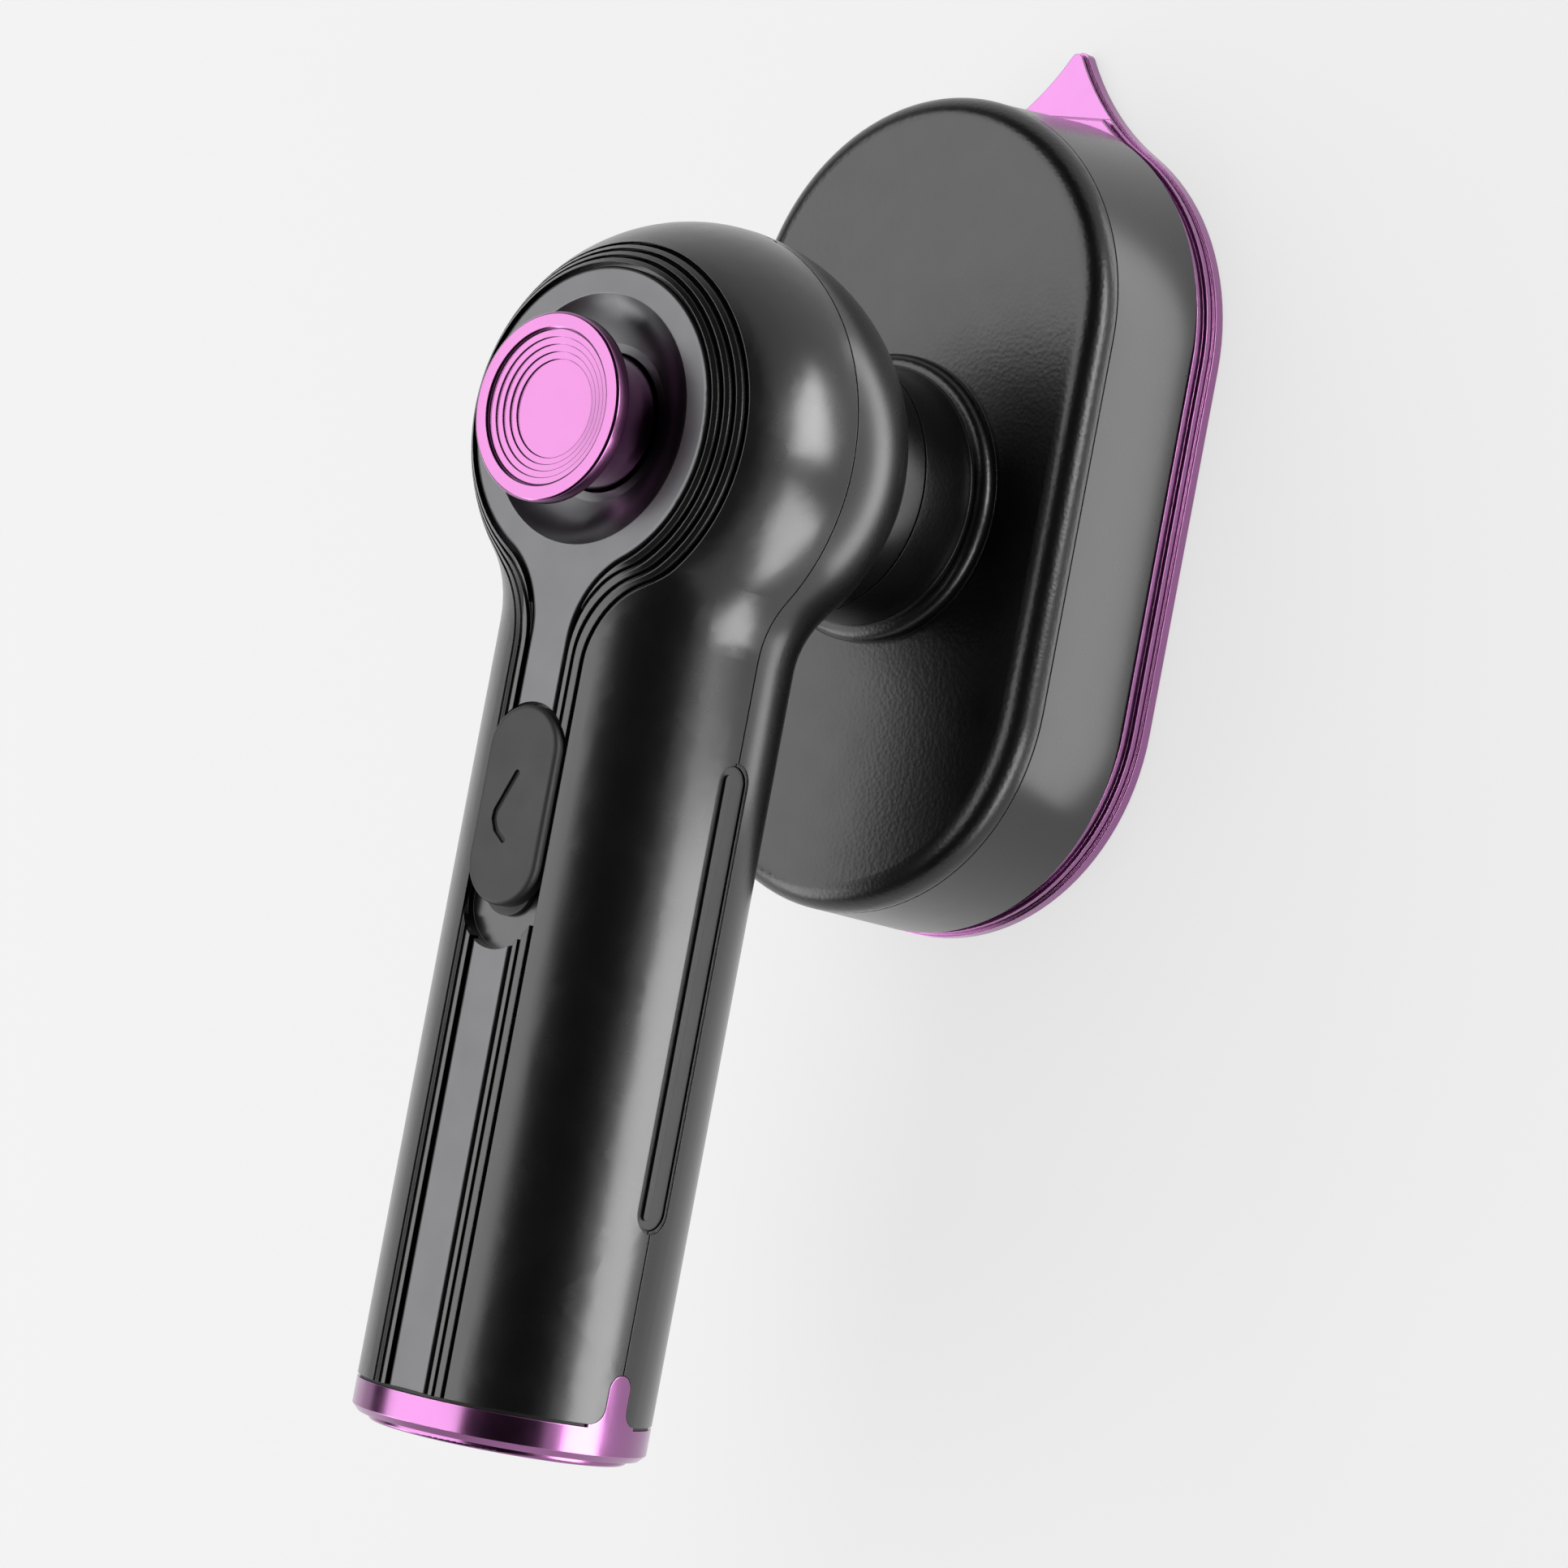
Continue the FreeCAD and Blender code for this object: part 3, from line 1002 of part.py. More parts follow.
def side_band():
    """Satin skirt between the rim and the head cover."""
    t = 2 * COVER_WALL
    z = (RIM_TOP + SEAT, BAND_TOP)
    band = taper((BAND_L, BAND_W, RIM_X), (COVER_L, COVER_W, 0), z)
    band = band.cut(taper((BAND_L - t, BAND_W - t, RIM_X), (COVER_L - t, COVER_W - t, 0), z))
    skin = stadium(COVER_L - t / 2, COVER_W - t / 2, (0, BAND_TOP))
    ledge = skin.common(slab(LEDGE_TOP - LEDGE_T, LEDGE_TOP))
    t += 2 * LEDGE_W
    band = band.fuse(ledge.cut(stadium(COVER_L - t, COVER_W - t, (0, BAND_TOP))))
    lug_z = (LEDGE_TOP - COVER_LUG_T, LEDGE_TOP)
    for x, y in COVER_LUGS:
        reach = box((x - LUG_R, x + LUG_R), sorted((y, math.copysign(COVER_W / 2, y))), lug_z)
        band = band.fuse(upright(LUG_R, x, y, lug_z).fuse(reach).common(skin))
        band = band.cut(upright(SCREW_R + SEAT, x, y, (0, BAND_TOP)))
    lug_z = (BLOCK_TOP + SEAT, BLOCK_TOP + SEAT + LUG_T)
    for x, y in BASE_LUGS:
        arm = box(sorted((x, math.copysign(BAND_FRONT, x))), (y - LUG_R, y + LUG_R), lug_z)
        band = band.fuse(upright(LUG_R, x, y, lug_z).fuse(arm).common(skin))
        band = band.cut(upright(SCREW_R + SEAT, x, y, (0, lug_z[1] + 1)))
    return band.removeSplitter()


def head_cover():
    """Grained top of the head, with the raised collar and the neck of the swivel."""
    cover = stadium(COVER_L, COVER_W, (COVER_Z, COVER_TOP))
    cover = cover.makeFillet(COVER_ROLL, top_edges(cover, COVER_TOP))
    z1 = COVER_TOP + COLLAR_H
    roll = COLLAR_ROLL
    k = roll * (1 - math.sqrt(0.5))
    cove = COLLAR_COVE
    profile = loop([
        line(Vector(0, 0, COVER_TOP - 1), Vector(COLLAR_R, 0, COVER_TOP - 1)),
        line(Vector(COLLAR_R, 0, COVER_TOP - 1), Vector(COLLAR_R, 0, z1 - roll)),
        arc(Vector(COLLAR_R, 0, z1 - roll), Vector(COLLAR_R - k, 0, z1 - k), Vector(COLLAR_R - roll, 0, z1)),
        line(Vector(COLLAR_R - roll, 0, z1), Vector(NECK_R + cove, 0, z1)),
        line(Vector(NECK_R + cove, 0, z1), Vector(NECK_R, 0, z1 + cove)),
        line(Vector(NECK_R, 0, z1 + cove), Vector(NECK_R, 0, HEAD_NECK_TOP)),
        line(Vector(NECK_R, 0, HEAD_NECK_TOP), Vector(0, 0, HEAD_NECK_TOP)),
        line(Vector(0, 0, HEAD_NECK_TOP), Vector(0, 0, COVER_TOP - 1))])
    cover = cover.fuse(profile.revolve(Vector(0, 0, 0), Vector(0, 0, 1), 360))
    t = 2 * COVER_RIM
    cover = cover.cut(stadium(COVER_L - t, COVER_W - t, (0, COVER_CEILING)))
    cover = cover.cut(upright(NECK_R - COVER_WALL, 0, 0, (0, NECK_PLATE_Z)))
    cover = cover.cut(upright(BUSH_R, 0, 0, (0, SWIVEL_Z)))
    cover = cover.cut(upright(BUSH_FLANGE_R + SEAT, 0, 0, (BUSH_TOP - BUSH_T, SWIVEL_Z)))
    for x, y in COVER_LUGS:
        boss_z = (LEDGE_TOP + SHIELD_T + SEAT, COVER_CEILING + COVER_BOSS_ROOT)
        cover = cover.fuse(upright(COVER_BOSS_R, x, y, boss_z))
        cover = cover.cut(upright(SCREW_R + RUN, x, y, (0, COVER_TOP - COVER_SKIN)))

    # groove in which the stop pin of the handle travels
    half_w = STOP_PIN_R + GAP
    ring = pipe(STOP_R + half_w, STOP_R - half_w, (0, 0, HEAD_NECK_TOP - STOP_DEPTH), (0, 0, SWIVEL_Z))
    half_angle = SWING + math.degrees(math.asin(half_w / STOP_R))
    keep = box((0, FAR), (-FAR, FAR), (0, SWIVEL_Z))
    for s in (1, -1):
        wedge = box((0, FAR), (-FAR, FAR), (0, SWIVEL_Z))
        wedge.rotate(Vector(0, 0, 0), Vector(0, 0, 1), s * (half_angle - 90))
        keep = keep.common(wedge)
    return cover.cut(ring.cut(keep))


def swivel():
    """Spindle, bush, washers, circlip and stop pin of the swivel."""
    plate_low = NECK_PLATE_Z
    washer_z = plate_low - WASHER_T - RUN
    wave_z = washer_z - WASHER_T - RUN
    clip_z = wave_z - CIRCLIP_T - RUN
    bottom = clip_z - SPINDLE_TAIL
    spindle = pipe(SPINDLE_R, SPINDLE_BORE, (0, 0, bottom), (0, 0, SPINDLE_SEAT + SPINDLE_FLANGE_T))
    flange = pipe(SPINDLE_FLANGE_R, SPINDLE_BORE, (0, 0, SPINDLE_SEAT),
                  (0, 0, SPINDLE_SEAT + SPINDLE_FLANGE_T))
    spindle = spindle.fuse(flange)
    spindle = spindle.cut(pipe(SPINDLE_R + 1, SPINDLE_R - CIRCLIP_GROOVE, (0, 0, clip_z - RUN / 2),
                               (0, 0, clip_z + CIRCLIP_T + RUN / 2)))
    for x, y in SPINDLE_SCREWS:
        spindle = spindle.cut(upright(SCREW_R + SEAT, x, y, (0, FAR)))
    bush = pipe(BUSH_R - RUN, SPINDLE_R + RUN, (0, 0, plate_low), (0, 0, BUSH_TOP))
    bush = bush.fuse(pipe(BUSH_FLANGE_R, SPINDLE_R + RUN, (0, 0, BUSH_TOP - BUSH_T), (0, 0, BUSH_TOP)))
    washer = pipe(BUSH_FLANGE_R, SPINDLE_R + GAP, (0, 0, washer_z), (0, 0, washer_z + WASHER_T))
    wave = pipe(BUSH_FLANGE_R - WAVE_INSET, SPINDLE_R + RUN, (0, 0, wave_z), (0, 0, wave_z + WASHER_T))
    clip = pipe(SPINDLE_R + CIRCLIP_REACH, SPINDLE_R - CIRCLIP_BITE,
                (0, 0, clip_z), (0, 0, clip_z + CIRCLIP_T))
    clip = clip.cut(box((0, FAR), (-CIRCLIP_MOUTH / 2, CIRCLIP_MOUTH / 2), (0, FAR)))
    pin = upright(STOP_PIN_R, -STOP_R, 0, (HEAD_NECK_TOP - STOP_DEPTH + GAP, SPINDLE_SEAT - RUN))
    screws = [screw(x, y, SPINDLE_SEAT + SPINDLE_FLANGE_T, SPINDLE_SCREW_L) for x, y in SPINDLE_SCREWS]
    return spindle, bush, washer, wave, clip, pin, Part.makeCompound(screws)


def element_path(radius):
    """U-shaped round bar: two legs joined round the front of the block."""
    z = BLOCK_Z + ELEMENT_Z
    legs = [rod(radius, (LEG_X[0], s * LEG_Y, z), (LEG_X[1], s * LEG_Y, z)) for s in (1, -1)]
    bend = Part.makeTorus(LEG_Y, radius, Vector(LEG_X[1], 0, z), Vector(0, 0, 1))
    bend = bend.common(box((LEG_X[1], FAR), (-FAR, FAR), (0, FAR)))
    return legs[0].fuse([legs[1], bend])


def heater():
    """Cast heater block with steam chamber, element, lid, gasket and terminals."""
    block = stadium(BLOCK_L, BLOCK_W, (BLOCK_Z, BLOCK_TOP))
    span = (LID_L - 2 * LID_LAND, LID_W - 2 * LID_LAND)
    chamber = stadium(span[0], span[1], (BLOCK_TOP - CHAMBER_DEPTH, BLOCK_TOP + 1), LID_X)
    for x in PILLAR_X:
        chamber = chamber.cut(upright(PILLAR_R, x, 0, (0, FAR)))
    block = block.cut(chamber)
    block = block.cut(element_path(ELEMENT_R + RUN))
    for x, y in BASE_LUGS:
        block = block.cut(upright(SCREW_R + RUN, x, y, (BLOCK_TOP - BASE_PILOT, BLOCK_TOP + 1)))
    for x, y in LID_SCREWS:
        block = block.cut(upright(SCREW_R + RUN, x, y, (BLOCK_TOP - LID_PILOT, BLOCK_TOP + 1)))
    element = element_path(ELEMENT_R)
    z = BLOCK_Z + ELEMENT_Z
    tags = []
    for s in (1, -1):
        y = s * LEG_Y
        end = LEG_X[0] - TAG_STUB_L
        stub = rod(TAG_STUB_R, (LEG_X[0], y, z), (end, y, z))
        blade = box((end - TAG_T, end), (y - TAG_W / 2, y + TAG_W / 2), (z + TAG_Z[0], z + TAG_Z[1]))
        tags.append(stub.fuse(blade))
    low = BLOCK_TOP
    gasket = stadium(LID_L, LID_W, (low, low + LID_GASKET_T), LID_X)
    gasket = gasket.cut(stadium(span[0], span[1], (0, FAR), LID_X))
    lid = stadium(LID_L, LID_W, (low + LID_GASKET_T, LID_TOP), LID_X)
    lid = lid.cut(upright(TUBE_BORE, 0, 0, (0, FAR)))
    screws = []
    for x, y in LID_SCREWS:
        gasket = gasket.cut(upright(SCREW_R + SEAT, x, y, (0, FAR)))
        lid = lid.cut(upright(SCREW_R + SEAT, x, y, (0, FAR)))
        screws.append(screw(x, y, LID_TOP, LID_SCREW_L))
    return block, element, Part.makeCompound(tags), gasket, lid, Part.makeCompound(screws)


def head_fittings():
    """Thermostat, thermal fuse, heat shield, nipple, O-ring and terminal block."""
    stat = upright(STAT_R, STAT_X, 0, (BLOCK_TOP + SEAT, BLOCK_TOP + STAT_H - STAT_STEP))
    stat = stat.fuse(upright(STAT_R - STAT_STEP_IN, STAT_X, 0, (BLOCK_TOP + STAT_STEP, BLOCK_TOP + STAT_H)))
    y = LID_W / 2 + FUSE_R + FUSE_OFF
    z = BLOCK_TOP + FUSE_R + SEAT
    fuse_x = (FUSE_X, FUSE_X + FUSE_L)
    fuse = rod(FUSE_R, (fuse_x[0], y, z), (fuse_x[1], y, z))
    mid = sum(fuse_x) / 2
    clip = pipe(FUSE_R + CLIP_T, FUSE_R + RUN, (mid - CLIP_W / 2, y, z), (mid + CLIP_W / 2, y, z))
    clip = clip.cut(box((mid - CLIP_W, mid + CLIP_W), (0, FAR), (0, BLOCK_TOP + SEAT)))
    t = 2 * (COVER_WALL + SEAT + SHIELD_CLEAR)
    shield = stadium(COVER_L - t, COVER_W - t, (LEDGE_TOP + RUN, LEDGE_TOP + SHIELD_T))
    shield = shield.cut(upright(SHIELD_BORE, 0, 0, (0, FAR)))
    for x, y1 in COVER_LUGS:
        shield = shield.cut(upright(SCREW_R + SEAT, x, y1, (0, FAR)))
    nipple = upright(NIPPLE_R, 0, 0, (LID_TOP, LID_TOP + NIPPLE_H))
    nipple = nipple.cut(upright(TUBE_BORE, 0, 0, (0, FAR)))
    nipple = nipple.cut(upright(TUBE_R + RUN, 0, 0, (LID_TOP + NIPPLE_FLOOR, FAR)))
    nipple = nipple.cut(upright(ORING_SEAT_R, 0, 0, (LID_TOP + ORING_SEAT[0], LID_TOP + ORING_SEAT[1])))
    oring_z = LID_TOP + sum(ORING_SEAT) / 2
    oring = Part.makeTorus(TUBE_R + RUN + ORING_WIRE_R, ORING_WIRE_R,
                           Vector(0, 0, oring_z), Vector(0, 0, 1))
    shield = shield.cut(box((TERMINAL_X[-1] - WINDOW_HALF, TERMINAL_X[0] + WINDOW_HALF),
                            (TERMINAL_Y - WINDOW_HALF, TERMINAL_Y + WINDOW_HALF), (0, FAR)))
    block = box((TERMINAL_X[-1] - TERMINAL_END, TERMINAL_X[0] + TERMINAL_END),
                (TERMINAL_Y - TERMINAL_HALF_W, TERMINAL_Y + TERMINAL_HALF_W),
                (BLOCK_TOP + SEAT, TERMINAL_TOP))
    for x in TERMINAL_X:
        block = block.cut(upright(WIRE_R + SEAT, x, TERMINAL_Y, (TERMINAL_TOP - TERMINAL_BORE_L, FAR)))
    return stat, fuse, clip, shield, nipple, oring, block


def looms():
    """Wires on each side of the swivel, which meet inside the spindle."""
    meet = NECK_PLATE_Z - LOOM_MEET
    board_z = PCB_TOP - PCB_T - WIRE_R - RUN
    run_z = LEDGE_TOP + SHIELD_T + WIRE_R + SEAT
    handle = []
    head = []
    for i, y in enumerate((-WIRE_PITCH, 0.0, WIRE_PITCH)):
        handle.append(chain(WIRE_R, [
            (LOOM_X, y, meet + RUN), (LOOM_X, y, PUMP_SEAT_Z - LOOM_DROP),
            (LOOM_BEND[0], y + LOOM_SHIFT, PUMP_SEAT_Z + LOOM_BEND[1]),
            (LOOM_RISE[0], y + LOOM_SHIFT, SUCTION_Z + LOOM_RISE[1]),
            (LOOM_SPAN[0], y + LOOM_SHIFT / 2, AXIS_Z - LOOM_SPAN[1]),
            (PCB_X[1] - LOOM_PAD_X, y + LOOM_SHIFT / 2, board_z)]))
        head.append(chain(WIRE_R, [
            (LOOM_X, y, meet - RUN), (LOOM_X, y, run_z + LOOM_FALL), (TERMINAL_X[i], y, run_z),
            (TERMINAL_X[i], TERMINAL_Y, run_z), (TERMINAL_X[i], TERMINAL_Y, TERMINAL_TOP - LOOM_CLAMP)]))
    return Part.makeCompound(handle), Part.makeCompound(head)


def fasteners():
    """Screws that close the casings, the band and the cover."""
    shell_l = AXIS_Z + SHELL_SCREW_GRIP - SHELL_SCREW_Z
    shell = [screw(x, y, SHELL_SCREW_Z, shell_l, up=True) for x, y in BOSSES]
    base = [screw(x, y, BLOCK_TOP + SEAT + LUG_T, BASE_SCREW_L) for x, y in BASE_LUGS]
    cover = [screw(x, y, LEDGE_TOP - COVER_LUG_T, COVER_SCREW_L, up=True) for x, y in COVER_LUGS]
    return Part.makeCompound(shell), Part.makeCompound(base), Part.makeCompound(cover)


def model():
    """Every piece by its node name."""
    parts = {}
    parts["front_shell"], parts["rear_shell"] = casings()
    parts["face_trim"], parts["stripe_trim"] = face_trims()
    parts["steam_knob"] = steam_knob()
    body, cap, mount, plunger, seal = pump()
    parts.update(pump_body=body, pump_cap=cap, pump_mount=mount, pump_plunger=plunger, plunger_seal=seal)
    parts["pump_spring"] = pump_spring()
    parts["slide_button"], parts["switch_carriage"], parts["switch_body"] = slide_switch()
    parts["control_board"], parts["heater_relay"], parts["board_screws"] = circuit_board()
    parts["water_tank"], parts["suction_tube"], parts["filler_plug"] = water_tank()
    parts["side_strip_left"], parts["side_strip_right"] = side_strips()
    parts["end_cap"], parts["cap_gasket"] = end_cap()
    parts["power_inlet"], parts["inlet_pins"], parts["cap_screws"] = power_inlet()
    parts["soleplate"], parts["sole_rim"] = sole()
    parts["side_band"] = side_band()
    parts["head_cover"] = head_cover()
    spindle, bush, washer, wave, clip, pin, screws = swivel()
    parts.update(swivel_spindle=spindle, swivel_bush=bush, thrust_washer=washer, wave_washer=wave)
    parts.update(spindle_circlip=clip, stop_pin=pin, spindle_screws=screws)
    block, element, tags, gasket, lid, screws = heater()
    parts.update(heater_block=block, heating_element=element, element_tags=tags)
    parts.update(chamber_gasket=gasket, chamber_lid=lid, lid_screws=screws)
    stat, fuse, clip, shield, nipple, oring, block = head_fittings()
    parts.update(thermostat=stat, thermal_fuse=fuse, fuse_clip=clip, heat_shield=shield)
    parts.update(water_nipple=nipple, nipple_oring=oring, terminal_block=block)
    parts["delivery_tube"] = pipe(TUBE_R, TUBE_BORE, (0, 0, LID_TOP + TUBE_PUSH), (0, 0, PUMP_SEAT_Z - SEAT))
    parts["handle_loom"], parts["head_loom"] = looms()
    parts["shell_screws"], parts["base_screws"], parts["cover_screws"] = fasteners()
    return parts


os.makedirs("parts", exist_ok=True)
for node, shape in model().items():
    shape.exportStep("parts/" + node + ".step")
    print(node, len(shape.Solids), shape.isValid(), round(shape.Volume, 1))
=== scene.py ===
"""Looks of a handheld mini steam iron, built round its packed CAD frame."""

import logging
import math
from dataclasses import dataclass
from enum import Enum
from typing import Any, ClassVar, Mapping, Optional, Sequence

import bmesh
import bpy
from mathutils import Matrix, Vector


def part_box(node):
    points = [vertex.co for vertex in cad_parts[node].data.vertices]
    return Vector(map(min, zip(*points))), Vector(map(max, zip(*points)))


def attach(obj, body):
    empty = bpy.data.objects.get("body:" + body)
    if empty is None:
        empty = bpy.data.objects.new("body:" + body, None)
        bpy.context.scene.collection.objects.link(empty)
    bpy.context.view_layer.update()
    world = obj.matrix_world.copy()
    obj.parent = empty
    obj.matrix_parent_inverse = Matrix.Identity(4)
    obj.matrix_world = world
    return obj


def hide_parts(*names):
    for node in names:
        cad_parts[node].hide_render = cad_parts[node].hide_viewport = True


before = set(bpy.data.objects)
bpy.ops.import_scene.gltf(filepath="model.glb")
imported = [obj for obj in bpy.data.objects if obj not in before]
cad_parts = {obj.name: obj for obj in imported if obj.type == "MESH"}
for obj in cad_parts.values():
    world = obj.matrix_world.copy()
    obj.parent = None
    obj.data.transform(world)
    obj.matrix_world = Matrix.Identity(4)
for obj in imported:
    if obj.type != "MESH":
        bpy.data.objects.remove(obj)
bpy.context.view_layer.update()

MM = 0.001
LOG = logging.getLogger("mini_steam_iron")

# How the slow changes of tone and gloss are drawn.
TONE_DETAIL, TONE_ROUGHNESS = 4.0, 0.6
GLOSS_DETAIL, GLOSS_PER_TONE = 5.0, 3
GLOSS_FROM, GLOSS_TO = 0.3, 0.7
# How much a rounded edge leans away before it gets the painted edge highlight, and the share of
# that lighter tone.
EDGE_STARTS, EDGE_FULL, EDGE_SHARE = 0.995, 0.93, 0.55
BEVEL_SAMPLES = 6
# Marks along the plate are drawn out to about thirty times their width.
STREAK = 0.03
PEBBLE_BLUR = 0.4
FIBRE_DETAIL, SPARK_DETAIL = 2.0, 3.0
# Corners sharper than this stay crisp on turned pieces.
CRISP = math.radians(50)
# Share of a run that one rounded corner may take.
CORNER_SHARE = 0.45

Point2 = tuple[float, float]
Node = bpy.types.Node
Socket = bpy.types.NodeSocket
Tree = bpy.types.NodeTree


def linear(code: str) -> tuple[float, float, float, float]:
    """Turns an sRGB hex code into a linear colour.

    Args:
        code: the colour as "#rrggbb".

    Returns:
        Red, green, blue and an alpha of one.
    """
    shares = [int(code[i:i + 2], 16) / 255 for i in (1, 3, 5)]
    values = [c / 12.92 if c <= 0.04045 else ((c + 0.055) / 1.055) ** 2.4 for c in shares]
    return values[0], values[1], values[2], 1.0


def add_node(tree: Tree, kind: str, settings: Optional[Mapping[str, Any]] = None,
             values: Optional[Mapping[Any, Any]] = None,
             links: Optional[Mapping[Any, Socket]] = None) -> Node:
    """Adds one node with its settings, socket values and links.

    Args:
        tree: the node tree that gets the node.
        kind: the node's type name.
        settings: attributes of the node.
        values: default values by input name or number.
        links: output sockets by the input that they feed.

    Returns:
        The new node.
    """
    node = tree.nodes.new(kind)
    for key, value in (settings or {}).items():
        setattr(node, key, value)
    for key, value in (values or {}).items():
        node.inputs[key].default_value = value
    for key, source in (links or {}).items():
        tree.links.new(source, node.inputs[key])
    return node


class Lay(Enum):
    """Direction in which a surface's marks run."""

    EVEN = "no direction"
    ALONG_X = "along the handle"
    ROUND_Z = "rings round the swivel axis"


class Texture(Enum):
    """Kind of fine relief that a process leaves."""

    SPARK = "fine even grain of an eroded or blasted surface"
    LEATHER = "rounded pebbles of an etched mould"
    FIBRE = "long soft streaks"


@dataclass(frozen=True)
class Finish:
    """A real material and the process that made its surface."""

    name: str
    colour: str
    shade: str
    roughness: float
    spread: float = 0.04
    metallic: float = 0.0
    ior: float = 1.5
    coat: float = 0.0
    coat_roughness: float = 0.2
    sheen: float = 0.0
    transmission: float = 0.0
    texture: Texture = Texture.SPARK
    lay: Lay = Lay.EVEN
    grain_mm: float = 0.3
    depth_mm: float = 0.004
    tone_mm: float = 14.0
    edge_mm: float = 0.12
    # Lighter tone painted on rounded edges as an edge highlight; none when unset.
    edge_highlight: Optional[str] = None

    def build(self) -> bpy.types.Material:
        """Makes the material.

        Returns:
            The finished node material.
        """
        material = bpy.data.materials.new(self.name)
        material.use_nodes = True
        tree = material.node_tree
        tree.nodes.clear()
        shader = add_node(tree, "ShaderNodeBsdfPrincipled", values=self.sockets())
        place = add_node(tree, "ShaderNodeTexCoord").outputs["Object"]
        rounded = add_node(tree, "ShaderNodeBevel", {"samples": BEVEL_SAMPLES},
                           {"Radius": self.edge_mm * MM})
        tree.links.new(self.tint(tree, place, rounded.outputs[0]), shader.inputs["Base Color"])
        tree.links.new(self.gloss(tree, place), shader.inputs["Roughness"])
        relief = self.relief(tree, place)
        bump = add_node(tree, "ShaderNodeBump", values={"Distance": self.depth_mm * MM},
                        links={"Height": relief, "Normal": rounded.outputs[0]})
        tree.links.new(bump.outputs[0], shader.inputs["Normal"])
        add_node(tree, "ShaderNodeOutputMaterial", links={"Surface": shader.outputs[0]})
        return material

    def sockets(self) -> dict[str, Any]:
        """Values that are the same all over the surface.

        Returns:
            The shader's socket values by name.
        """
        values: dict[str, Any] = {"Metallic": self.metallic, "Coat Weight": self.coat,
                                  "Coat Roughness": self.coat_roughness,
                                  "Sheen Weight": self.sheen,
                                  "Transmission Weight": self.transmission}
        if self.metallic == 0:
            values["IOR"] = self.ior
        return values

    def tint(self, tree: Tree, place: Socket, rounded: Socket) -> Socket:
        """Slow change of colour, and the rubbed tone along edges.

        Args:
            tree: the material's node tree.
            place: coordinates in metres.
            rounded: the normal with its edges rounded off.

        Returns:
            The base colour.
        """
        cloud = add_node(tree, "ShaderNodeTexNoise",
                         values={"Scale": 1 / (self.tone_mm * MM), "Detail": TONE_DETAIL,
                                 "Roughness": TONE_ROUGHNESS},
                         links={"Vector": place})
        mix = add_node(tree, "ShaderNodeMix", {"data_type": "RGBA"},
                       {6: linear(self.colour), 7: linear(self.shade)},
                       {0: cloud.outputs["Fac"]})
        if self.edge_highlight is None:
            return mix.outputs[2]
        # Painted edge highlight: a lighter tone where the rounded normal leans away from the true
        # one.
        normal = add_node(tree, "ShaderNodeNewGeometry").outputs["Normal"]
        facing = add_node(tree, "ShaderNodeVectorMath", {"operation": "DOT_PRODUCT"},
                          links={0: rounded, 1: normal})
        edge = add_node(tree, "ShaderNodeMapRange",
                        values={"From Min": EDGE_STARTS, "From Max": EDGE_FULL,
                                "To Max": EDGE_SHARE},
                        links={"Value": facing.outputs["Value"]})
        edge_lit = add_node(tree, "ShaderNodeMix", {"data_type": "RGBA"}, {7: linear(self.edge_highlight)},
                        {0: edge.outputs[0], 6: mix.outputs[2]})
        return edge_lit.outputs[2]

    def gloss(self, tree: Tree, place: Socket) -> Socket:
        """Roughness that changes a little from place to place.

        Args:
            tree: the material's node tree.
            place: coordinates in metres.

        Returns:
            The roughness.
        """
        cloud = add_node(tree, "ShaderNodeTexNoise",
                         values={"Scale": GLOSS_PER_TONE / (self.tone_mm * MM),
                                 "Detail": GLOSS_DETAIL},
                         links={"Vector": self.along(tree, place)})
        span = add_node(tree, "ShaderNodeMapRange",
                        values={"From Min": GLOSS_FROM, "From Max": GLOSS_TO,
                                "To Min": self.roughness - self.spread,
                                "To Max": self.roughness + self.spread},
                        links={"Value": cloud.outputs["Fac"]})
        return span.outputs[0]

    def along(self, tree: Tree, place: Socket) -> Socket:
        """Coordinates drawn out along the lay of the marks.

        Args:
            tree: the material's node tree.
            place: coordinates in metres.

        Returns:
            The drawn-out coordinates.
        """
        if self.lay is Lay.ALONG_X:
            return add_node(tree, "ShaderNodeMapping", values={"Scale": (STREAK, 1.0, 1.0)},
                            links={"Vector": place}).outputs[0]
        if self.lay is Lay.ROUND_Z:
            flat = add_node(tree, "ShaderNodeVectorMath", {"operation": "MULTIPLY"},
                            {1: (1.0, 1.0, 0.0)}, {0: place})
            reach = add_node(tree, "ShaderNodeVectorMath", {"operation": "LENGTH"},
                             links={0: flat.outputs[0]})
            height = add_node(tree, "ShaderNodeSeparateXYZ", links={0: place}).outputs["Z"]
            return add_node(tree, "ShaderNodeCombineXYZ",
                            links={"X": reach.outputs["Value"], "Y": height}).outputs[0]
        return place

    def relief(self, tree: Tree, place: Socket) -> Socket:
        """Height of the surface's fine texture.

        Args:
            tree: the material's node tree.
            place: coordinates in metres.

        Returns:
            The height, from nought to one.
        """
        scale = 1 / (self.grain_mm * MM)
        where = self.along(tree, place)
        if self.texture is Texture.LEATHER:
            cells = add_node(tree, "ShaderNodeTexVoronoi", {"feature": "SMOOTH_F1"},
                             {"Scale": scale, "Smoothness": PEBBLE_BLUR}, {"Vector": where})
            return cells.outputs["Distance"]
        detail = FIBRE_DETAIL if self.texture is Texture.FIBRE else SPARK_DETAIL
        noise = add_node(tree, "ShaderNodeTexNoise", values={"Scale": scale, "Detail": detail},
                         links={"Vector": where})
        return noise.outputs["Fac"]
